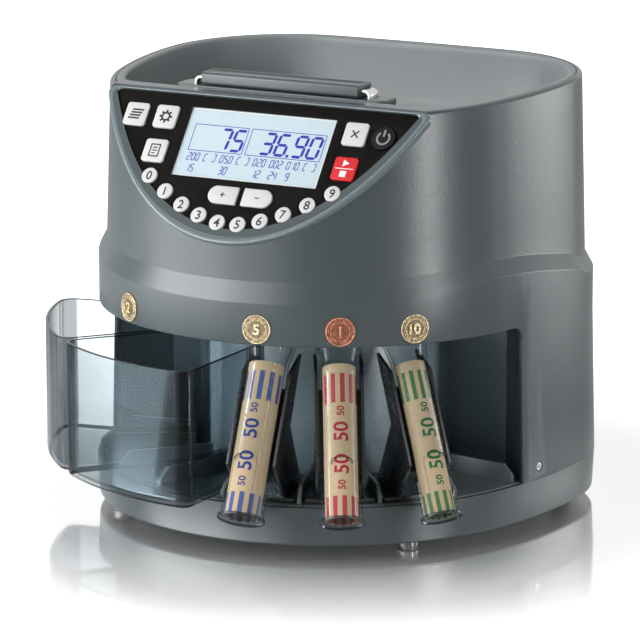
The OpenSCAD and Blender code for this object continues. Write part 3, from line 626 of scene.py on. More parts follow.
def kraft_paper(name, ink):
    """Brown wrapper paper with fibres, and ink bars near both ends along the roll's own UV map."""
    bar_count = 11.0
    upper_bars = (0.745, 0.935)
    lower_bars = 0.14
    dark, light, worn = (0.42, 0.30, 0.165), (0.60, 0.46, 0.29), (0.66, 0.54, 0.38)
    paint = Paint(name, (0.52, 0.39, 0.23), 0.85)
    uv = paint.node("ShaderNodeUVMap", {"uv_map": "around"})
    around, along, _ = paint.axes(uv)
    fibre = paint.noise(500.0, 5.0, 0.7)
    blotch = paint.noise(60.0, 3.0)
    paper = paint.blend(0.35 * blotch, paint.blend(fibre, dark, light), worn)
    bars = (around * bar_count).fract() < 0.5
    upper = (along > upper_bars[0]) * (along < upper_bars[1])
    lower = along < lower_bars
    mask = bars * (upper + lower).clamp() * (0.82 + 0.18 * fibre)
    paint.set("Base Color", paint.blend(mask, paper, ink))
    paint.uneven(0.82, 0.2, fibre)
    paint.bump(fibre, 0.25, 0.0003)
    return paint.material


def struck_metal(name, colour):
    """Coin-coloured label: darker colour in the hollows of a hammered relief, full colour on its tops."""
    hollow_share = 0.2
    paint = Paint(name, colour, 0.24, 1.0)
    relief = paint.noise(700.0, 4.0, 0.65)
    tone = paint.noise(150.0, 2.0)
    dark = tuple(c * hollow_share for c in colour)
    # Base colour darker where the relief noise is low and full where it is high
    paint.set("Base Color", paint.blend((3.0 * relief - 0.9 + 0.3 * tone).clamp(), dark, colour))
    paint.uneven(0.26, 0.2, tone)
    paint.bump(relief, 0.9, 0.001)
    return paint.material


def plain_ink(name, colour, roughness=0.6):
    paint = Paint(name, colour, roughness)
    paint.uneven(roughness, 0.1, paint.noise(800.0))
    return paint.material


def lit_display():
    """Pale blue field that glows a little of its own."""
    field = (0.46, 0.56, 0.61)
    paint = Paint("lit_display", field, 0.4, gloss=0.2)
    glow = paint.blend(paint.noise(30.0), field, (0.49, 0.585, 0.63))
    paint.set("Base Color", glow)
    paint.set("Emission Color", glow)
    paint.set("Emission Strength", 0.24)
    return paint.material


SLATE = (0.045, 0.061, 0.067)
slate_plastic = grained_plastic("slate_plastic", SLATE, 0.31, 0.8, gloss=0.7)
# The panel frame is a lighter copy of the slate: painted light for the light its upward-facing bead catches
frame_painted_light_plastic = grained_plastic("panel_edge_plastic", tuple(c * 2.6 for c in SLATE), 0.26, 0.06, gloss=0.8)
hopper_plastic = grained_plastic("hopper_plastic", (0.28, 0.31, 0.32), 0.42, 0.6, gloss=0.6)
# Bay floor and bay wall are coloured far lighter than their own plastic: painted light standing in for lamp
# light that does not reach into the bays
bay_floor_painted_light_plastic = grained_plastic("bay_floor_plastic", (0.14, 0.17, 0.18), 0.30, 0.4, gloss=0.7)
bay_wall_painted_light_plastic = grained_plastic("bay_wall_plastic", (0.23, 0.30, 0.335), 0.28, 0.12, gloss=0.5)
black_plastic = grained_plastic("black_plastic", (0.018, 0.020, 0.022), 0.42, 0.7)
stand_plastic = grained_plastic("stand_plastic", (0.016, 0.018, 0.020), 0.28, 0.5)
overlay_film = grained_plastic("overlay_film", (0.0058, 0.0055, 0.0045), 0.62, 0.4, gloss=0.06)
key_plastic = grained_plastic("key_plastic", (0.60, 0.61, 0.60), 0.5, 0.4, gloss=0.3)
red_plastic = grained_plastic("red_key_plastic", (0.62, 0.022, 0.028), 0.5, 0.4, gloss=0.3)
power_plastic = grained_plastic("power_key_plastic", (0.007, 0.007, 0.007), 0.5, 0.4, gloss=0.15)
rubber = grained_plastic("rubber", (0.02, 0.02, 0.021), 0.75, 1.4)
foot_plastic = grained_plastic("foot_plastic", (0.09, 0.095, 0.10), 0.16, 0.1, gloss=0.9)
board_green = grained_plastic("board_green", (0.03, 0.16, 0.07), 0.4, 0.3)
steel = brushed_metal("brushed_steel", (0.56, 0.57, 0.58), 0.34)
chrome = bright_chrome()
smoke = thin_clear("smoke_clear", (0.950, 0.966, 0.972), (0.010, 0.014, 0.017), 1.1, 0.2,
                   shine_colour=(0.70, 0.89, 1.0))
# Darker clears for the cup's rounded corners, rim and bottom fold: painted shade standing in for refraction
# through the thick wall
cup_corner_shade = thin_clear("smoke_corner", (0.82, 0.85, 0.87), (0.010, 0.013, 0.015), 1.2, 0.3, 0.3,
                        shine_colour=(0.86, 0.95, 1.0))
cup_edge_shade = thin_clear("smoke_edge", (0.20, 0.23, 0.25), (0.006, 0.008, 0.009), 0.9, 0.2, 0.9, 0.2)
clear = thin_clear("tube_clear", (0.965, 0.975, 0.978), (0.03, 0.036, 0.040), 0.9, 0.09)
# Darker clear for the tube's cut faces and floor lip: painted shade standing in for refraction at cut edges
tube_edge_shade = thin_clear("tube_cut_edge", (0.45, 0.49, 0.51), (0.02, 0.024, 0.027), 0.85, 0.4, 0.5, 0.4)
window = thin_clear("window_clear", (0.985, 0.99, 0.992), (0.2, 0.22, 0.24), 0.2, 0.1)
BLUE, RED, GREEN = (0.008, 0.065, 0.27), (0.40, 0.010, 0.035), (0.005, 0.15, 0.045)
kraft = [kraft_paper("kraft_blue", BLUE), kraft_paper("kraft_red", RED), kraft_paper("kraft_green", GREEN)]
roll_ink = [plain_ink("blue_ink", (0.008, 0.045, 0.22), 0.8),
            plain_ink("red_ink", (0.36, 0.010, 0.035), 0.8),
            plain_ink("green_ink", (0.005, 0.12, 0.04), 0.8)]
GOLD = (0.92, 0.75, 0.48)
COPPER = (0.80, 0.34, 0.22)
gold = [struck_metal("gold_relief", GOLD), struck_metal("gold_field", tuple(c * 0.3 for c in GOLD))]
copper = [struck_metal("copper_relief", COPPER),
          struck_metal("copper_field", tuple(c * 0.35 for c in COPPER))]
display = lit_display()
segment_ink = plain_ink("segment_ink", (0.016, 0.016, 0.40))
white_ink = plain_ink("white_ink", (0.80, 0.81, 0.81))
dark_ink = plain_ink("dark_ink", (0.012, 0.012, 0.014))
pale_ink = plain_ink("pale_ink", (0.24, 0.25, 0.26))


# Mesh pieces


def shade(mesh, sharp):
    for polygon in mesh.polygons:
        polygon.use_smooth = True
    mesh.set_sharp_from_angle(angle=math.radians(sharp))


def add_object(name, mesh):
    piece = bpy.data.objects.new(name, mesh)
    bpy.context.scene.collection.objects.link(piece)
    return piece


def mesh_from(name, bm, place=None, unit=MM):
    """Turns a bmesh into a mesh in metres, after moving it to its place."""
    if place is not None:
        bm.transform(place)
    bm.transform(Matrix.Scale(unit, 4))
    mesh = bpy.data.meshes.new(name)
    bm.to_mesh(mesh)
    bm.free()
    return mesh


def settle(piece, body, slot, *nodes):
    """Puts a finished piece on its body, and in the place of its solids."""
    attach(piece, body)
    if nodes:
        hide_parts(*nodes)
    return piece


def make(name, bm, paint, body, slot, *nodes, place=None, sharp=SMOOTH_ANGLE, unit=MM):
    """Turns a bmesh into a finished piece with its material or list of materials."""
    mesh = mesh_from(name, bm, place, unit)
    for material in paint if isinstance(paint, list) else [paint]:
        mesh.materials.append(material)
    shade(mesh, sharp)
    return settle(add_object(name, mesh), body, slot, *nodes)


def loft(rows, wrap=True, caps=False, bm=None):
    """Joins rows of points that each run round a closed ring."""
    bm = bm or bmesh.new()
    grid = [[bm.verts.new(p) for p in row] for row in rows]
    n = len(rows[0])
    for low, high in zip(grid, grid[1:] + grid[:1] if wrap else grid[1:]):
        for i in range(n):
            j = (i + 1) % n
            bm.faces.new((low[i], low[j], high[j], high[i]))
    if caps:
        bm.faces.new(list(reversed(grid[0])))
        bm.faces.new(grid[-1])
    bmesh.ops.recalc_face_normals(bm, faces=bm.faces)
    return bm


def level(inset, z):
    return raised([edge_point(a, inset) for a in ANGLES], z)


def plates(outlines, low=0.0, high=PRINT_T):
    """Solids between two heights, one over each closed outline; by default a thin print."""
    bm = bmesh.new()
    for outline in outlines:
        loft([raised(outline, low), raised(outline, high)], wrap=False, caps=True, bm=bm)
    return bm


def rounded_box(w, h, radius):
    x = w / 2.0
    y = h / 2.0
    return rounded_loop([(-x, -y, radius), (x, -y, radius), (x, y, radius), (-x, y, radius)])


def circle(radius, count=48):
    return [ray(radius, t) for t in spread(0.0, 360.0, count)[:-1]]


def lathe(profile, count=72):
    """Closed solid of revolution about Z from (radius, height) points."""
    return loft([raised(circle(radius, count), z) for radius, z in profile])


def bevel_edges(bm, edges, width, segments=3):
    bmesh.ops.bevel(bm, geom=edges, offset=width, segments=segments, profile=0.5, affect="EDGES",
                    clamp_overlap=True)


def bevel_sharp(bm, angle, width, segments):
    """Rounds the edges of a copied solid that turn by more than an angle."""
    sharp = [e for e in bm.edges if e.is_manifold and e.calc_face_angle() > math.radians(angle)]
    bevel_edges(bm, sharp, width * MM, segments)


def solid_copy(node):
    """Clean copy of a solid, in metres: doubles merged and flat faces joined."""
    bm = bmesh.new()
    bm.from_mesh(frame["nodes"][node].data)
    bmesh.ops.remove_doubles(bm, verts=bm.verts, dist=SOLID_WELD)
    bmesh.ops.dissolve_limit(bm, angle_limit=math.radians(FLAT_ANGLE), verts=bm.verts, edges=bm.edges)
    return bm


def soften(node, paint, slot, width, segments=2):
    """Copy of a solid with its edges rounded, in the solid's place."""
    bm = solid_copy(node)
    bevel_sharp(bm, 28.0, width, segments)
    body = frame["nodes"][node]["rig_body"]
    return make(node + "_moulding", bm, paint, body, slot, node, unit=1.0)


def evaluated(item, *helpers):
    """Final mesh of an object as a bmesh; the object and its helpers are removed."""
    bpy.context.view_layer.update()
    final = item.evaluated_get(bpy.context.evaluated_depsgraph_get())
    bm = bmesh.new()
    bm.from_mesh(final.to_mesh())
    final.to_mesh_clear()
    for used in (*helpers, item):
        bpy.data.objects.remove(used)
    bmesh.ops.remove_doubles(bm, verts=bm.verts, dist=WELD)
    return bm


def carve(bm, cutters):
    """Applies boolean cutters, each an operation and a bmesh, to a bmesh in millimetres."""
    base = add_object("carved", mesh_from("carved", bm, unit=1.0))
    tools = []
    for operation, tool in cutters:
        modifier = base.modifiers.new("cut", "BOOLEAN")
        modifier.operation = operation
        modifier.solver = "EXACT"
        modifier.object = add_object("cutter", mesh_from("cutter", tool, unit=1.0))
        tools.append(modifier.object)
    return evaluated(base, *tools)


# Repeated small parts


class Grown(Tree):
    """Geometry nodes that set one small solid on every point of a mesh of places."""

    def __init__(self, name, sizes):
        super().__init__(bpy.data.node_groups.new(name, "GeometryNodeTree"))
        face = self.tree.interface
        face.new_socket("Places", in_out="INPUT", socket_type="NodeSocketGeometry")
        for label in sizes:
            face.new_socket(label, in_out="INPUT", socket_type="NodeSocketFloat")
        face.new_socket("Finish", in_out="INPUT", socket_type="NodeSocketMaterial")
        face.new_socket("Solids", in_out="OUTPUT", socket_type="NodeSocketGeometry")
        self.inputs = self.tree.nodes.new("NodeGroupInput")

    def size(self, label):
        return Wire(self.tree, self.inputs.outputs[label])

    def stand(self, solid):
        """Sets the solid on the places, turned outward, and closes the tree."""
        outward = self.node("GeometryNodeInputNamedAttribute", {"data_type": "FLOAT_VECTOR"}, Name="outward")
        turn = self.node("FunctionNodeAlignRotationToVector", {"axis": "Z"}, Vector=outward)
        copies = self.node("GeometryNodeInstanceOnPoints", Points=self.size("Places"), Instance=solid,
                           Rotation=turn)
        real = self.node("GeometryNodeRealizeInstances", Geometry=copies)
        painted = self.node("GeometryNodeSetMaterial", Geometry=real, Material=self.size("Finish"))
        plug(self.tree, self.tree.nodes.new("NodeGroupOutput").inputs[0], painted)

    def grow(self, name, places, body, slot, finish, *nodes, **sizes):
        """Plain mesh of the solids at (point, outward) places in millimetres."""
        mesh = bpy.data.meshes.new(name + "_places")
        mesh.from_pydata([p * MM for p, _ in places], [], [])
        attribute = mesh.attributes.new("outward", "FLOAT_VECTOR", "POINT")
        for item, (_, outward) in zip(attribute.data, places):
            item.vector = outward
        holder = add_object(name + "_places", mesh)
        modifier = holder.modifiers.new("grow", "NODES")
        modifier.node_group = self.tree
        for item in self.tree.interface.items_tree:
            label = item.name.replace(" ", "_").lower()
            if label in sizes:
                modifier[item.identifier] = sizes[label] * MM
            elif label == "finish":
                modifier[item.identifier] = finish
        bpy.context.view_layer.update()
        final = holder.evaluated_get(bpy.context.evaluated_depsgraph_get())
        solids = bpy.data.meshes.new_from_object(final)
        bpy.data.objects.remove(holder)
        shade(solids, SMOOTH_ANGLE)
        return settle(add_object(name, solids), body, slot, *nodes)


def domed_studs():
    """Low domes, half sunk in what carries them."""
    tree = Grown("domed_studs", ("Stud radius", "Stud height"))
    ball = tree.node("GeometryNodeMeshUVSphere", Segments=12, Rings=8, Radius=tree.size("Stud radius"))
    flat = tree.size("Stud height") / tree.size("Stud radius")
    scale = tree.node("ShaderNodeCombineXYZ", X=1.0, Y=1.0, Z=flat)
    tree.stand(tree.node("GeometryNodeTransform", Geometry=ball, Scale=scale))
    return tree


def cross_screws():
    """Round screw heads with a tapered edge and a cross recess."""
    tree = Grown("cross_screws", ("Head radius", "Head height"))
    radius = tree.size("Head radius")
    height = tree.size("Head height")
    head = tree.node("GeometryNodeMeshCone", Vertices=32, Radius_Top=SCREW_TAPER * radius,
                     Radius_Bottom=radius, Depth=height)
    lift = tree.node("ShaderNodeCombineXYZ", X=0.0, Y=0.0, Z=height)
    arms = []
    for across, along in ((RECESS_W, RECESS_L), (RECESS_L, RECESS_W)):
        size = tree.node("ShaderNodeCombineXYZ", X=across * radius, Y=along * radius, Z=height)
        arm = tree.node("GeometryNodeMeshCube", Size=size)
        arms.append(tree.node("GeometryNodeTransform", Geometry=arm, Translation=lift))
    recess = tree.node("GeometryNodeMeshBoolean", {"operation": "DIFFERENCE"}, Mesh_1=head)
    for arm in arms:
        plug(tree.tree, recess.socket.node.inputs["Mesh 2"], arm)
    tree.stand(recess)
    return tree


studs = domed_studs()
screws = cross_screws()


# Body shells


def side_share(angle):
    return min(1.0, abs(angle) / RISE_SWEEP) ** 2


def band_lift(angle):
    """Height of the band over its level at the front: up to the sides, then down to the back."""
    return BAND_RISE * side_share(angle) - BAND_DROP * smooth((abs(angle) - DROP_FROM) / DROP_SPAN)


def skirt_edge(angle):
    d = min(1.0, max(0.0, 1.0 - (OPENING_SWEEP - abs(angle)) / FILLET_SPAN))
    return SKIRT_Z - OPENING_FILLET * (1.0 - math.sqrt(1.0 - d * d))


def housing_section(angle):
    """Section of the housing at one normal angle, from the seam outside round to the seam inside."""
    band_top = UPPER_Z + band_lift(angle)
    band_low = BAND_Z + band_lift(angle) + BAND_TAPER * side_share(angle)
    edge = skirt_edge(angle)
    rim = rim_top(edge_point(angle, RIM_INSET).y)
    back = smooth((abs(angle) - LEDGE_FROM) / LEDGE_SPAN)
    lip = RIM_INSET + WALL + (LIP_INSET - RIM_INSET - WALL) * back
    ledge = lip + 0.05 + LEDGE_W * back
    upper = [(UPPER_INSET + (RIM_INSET - UPPER_INSET) * t, band_top + (rim - band_top) * t, 0.0)
             for t in (0.2, 0.4, 0.6, 0.8)]
    corners = [
        (0.0, BASE_TOP, 0.0),
        (SKIRT_INSET, edge, 0.0),
        (SKIRT_INSET, band_low, BAND_LOW_R),
        (UPPER_INSET, band_top, BAND_TOP_R),
        *upper,
        (RIM_INSET, rim, RIM_R),
        (lip, rim, LIP_R),
        (lip, rim - LIP_DEPTH, 0.0),
        (ledge, rim - LIP_DEPTH, 0.0),
        (ledge, rim - LIP_DEPTH - LEDGE_H, 0.0),
        (RIM_INSET + WALL, rim - LIP_DEPTH - NECK_H, 0.0),
        (UPPER_INSET + WALL, band_top, 0.0),
        (SKIRT_INSET + WALL, band_low - WALL / 2, 0.0),
        (SKIRT_INSET + WALL, edge, 0.0),
        (WALL, BASE_TOP, 0.0)]
    return [Vector((*edge_point(angle, p.x), p.y)) for p in rounded(corners)]


def body_housing():
    """Skirt, band and hopper shell: open at the bays, cut off along the panel plane."""
    sections = [housing_section(a) for a in ANGLES]
    rows = len(sections[0])
    bm = bmesh.new()
    grid = [[bm.verts.new(p) for p in section] for section in sections]
    opening = []
    seam = []
    for i in range(COUNT):
        j = (i + 1) % COUNT
        behind = JAMB <= i < COUNT - JAMB
        rails = list(range(rows)) if behind else list(range(1, rows - 1))
        for a, b in zip(rails, rails[1:] + rails[:1]):
            bm.faces.new((grid[i][a], grid[j][a], grid[j][b], grid[i][b]))
        if behind:
            seam.append((grid[i][0], grid[j][0]))
        else:
            opening += [(grid[i][r], grid[j][r]) for r in (1, rows - 2)]
    for i, turn in ((JAMB, 1), (COUNT - JAMB, -1)):
        column = grid[i]
        cap = (column[1], column[rows - 2], column[rows - 1], column[0])
        bm.faces.new(cap[::turn])
        opening += [(column[0], column[1]), (column[rows - 2], column[rows - 1])]
    bmesh.ops.delete(bm, geom=[v for v in bm.verts if not v.link_faces], context="VERTS")
    bmesh.ops.recalc_face_normals(bm, faces=bm.faces)
    edges = [bm.edges.get(pair) for pair in opening]
    seams = [bm.edges.get(pair) for pair in seam]
    bevel_edges(bm, edges, OPENING_SOFT)
    bevel_edges(bm, [e for e in seams if e and e.is_valid], SEAM_SOFT, 2)
    normal = PANEL.to_3x3() @ Vector((0.0, 0.0, 1.0))
    bmesh.ops.bisect_plane(bm, geom=list(bm.verts) + list(bm.edges) + list(bm.faces), dist=1e-5,
                           plane_co=PANEL.translation, plane_no=normal, clear_outer=True)
    open_edges = [e for e in bm.edges if e.is_boundary]
    bmesh.ops.triangle_fill(bm, edges=open_edges, use_beauty=True)
    holes = []
    for angle in SCREW_ANGLES:
        hole = plates([circle(SCREW_HOLE_R, 32)], -SCREW_HOLE_DEPTH, WALL + 1.0)
        hole.transform(at_edge(angle, SCREW_Z))
        holes.append(("DIFFERENCE", hole))
    return make("housing_shell", carve(bm, holes), slate_plastic, "machine", "slate", "main_housing")


def base_shell():
    """Base tray: rounded bottom edge, slight flare, lip under the housing."""
    floor = FOOT_H + BASE_FLOOR
    corners = [(BASE_INSET + 6.0, FOOT_H, 0.0), (BASE_INSET, FOOT_H, 1.8), (0.0, BASE_TOP, 0.6),
               (WALL, BASE_TOP, 0.3), (WALL + BASE_INSET, floor, 1.0), (WALL + 8.0, floor, 0.0)]
    bm = loft([level(p.x, p.y) for p in rounded(corners)], wrap=False, caps=True)
    return make("base_shell", bm, slate_plastic, "machine", "slate", "base_tray")


def front_land():
    """Strip of rim between the top of the panel and the hopper."""
    top = rim_top(LAND_REAR) - 0.03
    rise = (top - PANEL_Z) / math.cos(math.radians(PANEL_TILT))
    front = PANEL @ Vector((0.0, rise, 0.0))
    low = PANEL @ Vector((0.0, PANEL_TOP + PANEL_GAP, 0.0))
    back = PANEL @ Vector((0.0, PANEL_TOP + PANEL_GAP, -LAND_DEPTH))
    under = top - LAND_H
    section = rounded_loop([(front.y, front.z, 1.2), (low.y, low.z, 0.0), (back.y, back.z, 0.0),
                            (back.y, under, 0.0), (LAND_REAR, under, 0.0), (LAND_REAR, top, 0.6)])
    reach = FRONT_R - LIP_INSET + 1.0
    rows = [[Vector((t * math.sqrt(reach * reach - p.x * p.x), p.x, p.y)) for p in section]
            for t in (-1.0, 0.0, 1.0)]
    return make("front_land", loft(rows, wrap=False, caps=True), slate_plastic, "machine", "slate")


def soft_max(y, limit, k):
    return (y + limit + math.sqrt((y - limit) ** 2 + k * k)) / 2.0


def hopper_row(inset, limit, k, down):
    out = []
    for a in ANGLES:
        p = edge_point(a, inset)
        y = soft_max(p.y, limit, k)
        out.append(Vector((p.x, y, rim_top(y) - down)))
    return out


def hopper():
    """Bowl from the rim down to the disc: thin flange, straight front, smooth throat."""
    flange = LIP_INSET + FLANGE_GAP
    front = LAND_REAR + FLANGE_GAP / 2.0
    inset = flange + FLANGE_W
    limit = front + FLANGE_W
    under = LIP_DEPTH - FLANGE_GAP
    mouth = [edge_point(a, LIP_INSET).normalized() for a in ANGLES]
    top_in = hopper_row(inset + BOWL_STEP, limit, BOWL_SOFT, BOWL_DEPTH)
    top_out = hopper_row(inset + BOWL_STEP - BOWL_WALL, limit - BOWL_WALL, BOWL_SOFT, BOWL_DEPTH)
    low_in = raised([p * THROAT_R for p in mouth], THROAT_Z)
    low_out = raised([p * (THROAT_R + BOWL_WALL) for p in mouth], THROAT_Z)

    def throat(a, b):
        shares = [smooth(t) * THROAT_EASE + t * (1.0 - THROAT_EASE) for t in spread(0.0, 1.0, 12)]
        return [[p.lerp(q, t) for p, q in zip(a, b)] for t in shares]

    rows = throat(low_out, top_out)
    rows.append(hopper_row(inset - BOWL_WALL, limit - BOWL_WALL, BOWL_SOFT, under))
    rows.append(hopper_row(flange, front, FLANGE_SOFT, under))
    for p in rounded([(0.0, 1.5, 0.0), (0.0, 0.0, 0.5), (FLANGE_W, 0.0, 1.6), (FLANGE_W + 0.05, 5.0, 0.0)]):
        rows.append(hopper_row(flange + p.x, front + p.x, FLANGE_SOFT + p.x, p.y))
    rows += throat(top_in, low_in)
    return make("hopper_shell", loft(rows), hopper_plastic, "machine", "slate", "hopper_bowl")


# Control panel


def cut_radius(q):
    """Radius of the raised frame about the spindle, at a height up the panel."""
    z = PANEL_Z + q * math.cos(math.radians(PANEL_TILT))
    share = (z - UPPER_Z) / (RIM_Z - UPPER_Z)
    return FRONT_R + BEZEL_PROUD - UPPER_INSET - (RIM_INSET - UPPER_INSET) * share


def cut_point(turn):
    """Place on the panel where the grown housing meets the panel plane."""
    slope = cut_radius(1.0) - cut_radius(0.0)
    lean = math.sin(math.radians(PANEL_TILT))
    q = (-PANEL_Y - cut_radius(0.0) * math.cos(turn)) / (lean + slope * math.cos(turn))
    return Vector((cut_radius(q) * math.sin(turn), q))


def cut_inside(turn, margin):
    along = cut_point(turn + 1e-4) - cut_point(turn - 1e-4)
    return cut_point(turn) + margin * Vector((-along.y, along.x)).normalized()


def panel_outline(top, margin, corner, steps=90):
    """The raised frame's outline, moved inward by a margin and closed by a straight top."""
    low = 0.0
    high = 1.4
    for _ in range(40):
        end = (low + high) / 2.0
        if cut_inside(end, margin).y < top:
            low = end
        else:
            high = end
    points = [(*cut_inside(turn, margin), 0.0) for turn in spread(-end, end, steps)]
    points[0] = (*points[0][:2], corner)
    points[-1] = (*points[-1][:2], corner)
    keep = [p for i, p in enumerate(points) if i in (0, steps) or 3 < i < steps - 3]
    return rounded_loop(keep)


def panel_frame():
    """Rounded frame in a lighter slate, painted light for the light its raised bead catches, that stands out
    of the housing round the black panel.
    """
    outer = resample(panel_outline(LAND_Q, 0.0, 4.0), BEZEL_POINTS)
    inner = resample(panel_outline(PANEL_TOP + PANEL_GAP, BEZEL_W, 5.0), BEZEL_POINTS)
    profile = ((0.0, -6.6), (0.0, -1.3), (0.04, -0.65), (0.12, -0.2), (0.26, 0.06), (0.45, 0.14),
               (0.68, 0.06), (0.85, -0.16), (0.95, -0.5), (1.0, -0.95), (1.0, -1.9))
    rows = [raised([a.lerp(b, share) for a, b in zip(outer, inner)], w) for share, w in profile]
    return make("panel_edge", loft(rows), frame_painted_light_plastic, "machine", "slate", place=PANEL, sharp=50.0)


def numeral_mesh(text, size, bold):
    """Digits as a flat bmesh centred on the origin, in millimetres."""
    curve = bpy.data.curves.new("numeral", "FONT")
    curve.body = text
    curve.size = size
    curve.resolution_u = 4
    curve.offset = bold
    curve.extrude = PRINT_T / 2.0
    bm = evaluated(add_object("numeral", curve))
    xs = [v.co.x for v in bm.verts]
    ys = [v.co.y for v in bm.verts]
    middle = Vector(((min(xs) + max(xs)) / 2.0, (min(ys) + max(ys)) / 2.0, 0.0))
    bmesh.ops.translate(bm, verts=bm.verts, vec=-middle)
    return bm


def bar(x0, y0, x1, y1, width):
    """Outline of a straight stroke."""
    a = Vector((x0, y0))
    b = Vector((x1, y1))
    side = (b - a).normalized().orthogonal() * (width / 2.0)
    return [a + side, a - side, b - side, b + side]


def arc_band(radius, width, first, last, steps=24):
    """Outlines of a curved stroke about the origin, one short piece a step."""
    inner = radius - width / 2.0
    outer = radius + width / 2.0
    turns = spread(first, last, steps)
    return [[ray(inner, a), ray(outer, a), ray(outer, b), ray(inner, b)] for a, b in zip(turns, turns[1:])]


def strokes(width, *runs):
    """Outlines of straight strokes of one width."""
    return [bar(*run, width) for run in runs]


def key_signs():
    """Plain signs for the keys that carry no digit, drawn about each key's centre."""
    arm, thin = 1.7, 0.75
    flat = (-arm, 0, arm, 0)
    upright = (0, -arm, 0, arm)
    reach = 2.4
    cross = strokes(1.0, (-reach, -reach, reach, reach), (-reach, reach, reach, -reach))
    gear = arc_band(2.6, 1.3, 0, 360)
    gear += strokes(1.5, *[(*ray(2.9, turn), *ray(4.6, turn)) for turn in range(0, 360, 45)])
    half, lean = 4.0, 0.3
    stack = strokes(1.2, *[(-half + lean * y, y, half + lean * y, y) for y in (-3.0, -1.0, 1.0, 3.0)])
    side, top, foot = 3.2, 4.2, -4.6
    tooth, tip = 0.8, -3.6
    slip = strokes(0.9, (-side, top, side, top), (-side, foot, -side, -foot), (side, foot, side, -foot))
    slip += strokes(0.8, (-arm, 2.0, arm, 2.0), flat, (-arm, -2.0, 0.6, -2.0))
    for x in (-3 * tooth, -tooth, tooth, 3 * tooth):
        slip += strokes(0.7, (x - tooth, foot, x, tip), (x, tip, x + tooth, foot))
    start = [[(-1.8, 1.4), (-1.8, 6.2), (2.6, 3.8)]]
    stop = [[(-2.2, -5.8), (2.2, -5.8), (2.2, -1.6), (-2.2, -1.6)]]
    return {
        "key_plus": (dark_ink, strokes(thin, flat, upright)),
        "key_minus": (dark_ink, strokes(thin, flat)),
        "key_batch": (dark_ink, stack),
        "key_set": (dark_ink, gear),
        "key_print": (dark_ink, slip),
        "key_clear": (dark_ink, cross),
        "key_start_stop": (white_ink, start + strokes(0.55, (-6.2, 0, 6.2, 0)) + stop),
        "key_power": (pale_ink, arc_band(4.2, 1.3, 128, 412) + strokes(1.3, (0, 1.0, 0, 5.8))),
    }


def key_centre(node):
    """Middle of a key's face, in the panel's frame."""
    low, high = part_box(node)
    local = PANEL.inverted() @ ((low + high) / (2.0 * MM))
    return local.x, local.y, KEY_TOP


def keys():
    """Key caps with softened edges, and the digit or sign on each."""
    signs = key_signs()
    for node in [n for n in frame["nodes"] if n.startswith("key_") and n != "key_board"]:
        paint, slot = key_plastic, "key_grey"
        if node == "key_start_stop":
            paint, slot = red_plastic, "key_red"
        if node == "key_power":
            paint, slot = power_plastic, "black"
        soften(node, paint, slot, KEY_SOFT, segments=4)
        if node in signs:
            ink, outlines = signs[node]
            bm = plates(outlines)
        else:
            ink = dark_ink
            bm = numeral_mesh(node[-1], KEY_DIGIT, 0.12)
        make(node + "_sign", bm, ink, node, slot, place=PANEL @ shifted(*key_centre(node)))


SEGMENTS = {"0": "abcdef", "1": "bc", "2": "abged", "3": "abgcd", "4": "fgbc", "5": "afgcd", "6": "afgedc",
            "7": "abc", "8": "abcdefg", "9": "abcdfg", "[": "adef", "]": "abcd", " ": "", ".": "."}


def segment(x0, y0, x1, y1, stroke):
    """Outline of one display segment with mitred ends."""
    a = Vector((x0, y0))
    b = Vector((x1, y1))
    along = (b - a).normalized()
    tip = 0.1 * stroke * along
    near = 0.6 * stroke * along
    side = Vector((along.y, -along.x)) * stroke / 2.0
    return [a + tip, a + near + side, b - near + side, b - tip, b - near - side, a + near - side]


def segment_digits(text, x, y, height, stroke, pitch, w):
    """Outlines of seven-segment digits of width w, leaning a little to the right."""
    out = []
    half = height / 2.0
    runs = {"a": (0, height, w, height), "b": (w, half, w, height), "c": (w, 0, w, half), "d": (0, 0, w, 0),
            "e": (0, 0, 0, half), "f": (0, half, 0, height), "g": (0, half, w, half)}
    for mark in text:
        if mark == ".":
            spot = x - (pitch - w) / 2.0 + DOT_ROOM / 2.0
            out.append(bar(spot - stroke / 2.0, y, spot + stroke / 2.0, y, stroke))
            x += DOT_ROOM
            continue
        for name in SEGMENTS[mark]:
            x0, y0, x1, y1 = runs[name]
            out.append(segment(x + x0, y + y0, x + x1, y + y1, stroke))
        x += pitch
    return [[(p[0] + DIGIT_LEAN * (p[1] - y), p[1]) for p in outline] for outline in out]


def box_lines(x0, y0, x1, y1, width):
    return strokes(width, (x0, y0, x1, y0), (x1, y0, x1, y1), (x1, y1, x0, y1), (x0, y1, x0, y0))


def lcd():
    """Lit display: pale field with a white border, two boxed totals and two rows of counts."""
    back = OVERLAY_TOP - GLASS_T
    outline = rounded_box(LCD_W - 2 * LCD_GAP, LCD_H - 2 * LCD_GAP, LCD_CORNER)
    field = plates([outline], back - LCD_T, back + LCD_LAYER)
    make("display_field", field, display, "machine", "display", place=on_display(0.0))
    x = LCD_W / 2.0 - LCD_BORDER_INSET
    y = LCD_H / 2.0 - LCD_BORDER_INSET
    border = plates(box_lines(-x, -y, x, y, LCD_BORDER))
    make("display_border", border, white_ink, "machine", "display", place=on_display(back + 2 * LCD_LAYER))
    ink = []
    for corners, (total, x) in zip(TOTAL_BOXES, TOTALS):
        ink += box_lines(*corners, TOTAL_STROKE)
        ink += segment_digits(total, x, TOTAL_Y, *LARGE_DIGIT)
    for i, (group, count) in enumerate(zip(GROUPS, COUNTS)):
        x = GROUP_X + GROUP_PITCH * i
        ink += segment_digits(group, x, GROUP_Y, *SMALL_DIGIT)
        ink += segment_digits(count, x + COUNT_X, COUNT_Y, *SMALL_DIGIT)
    make("display_digits", plates(ink), segment_ink, "machine", "display",
         place=on_display(back + 3 * LCD_LAYER))


# Cups, tubes and rolls


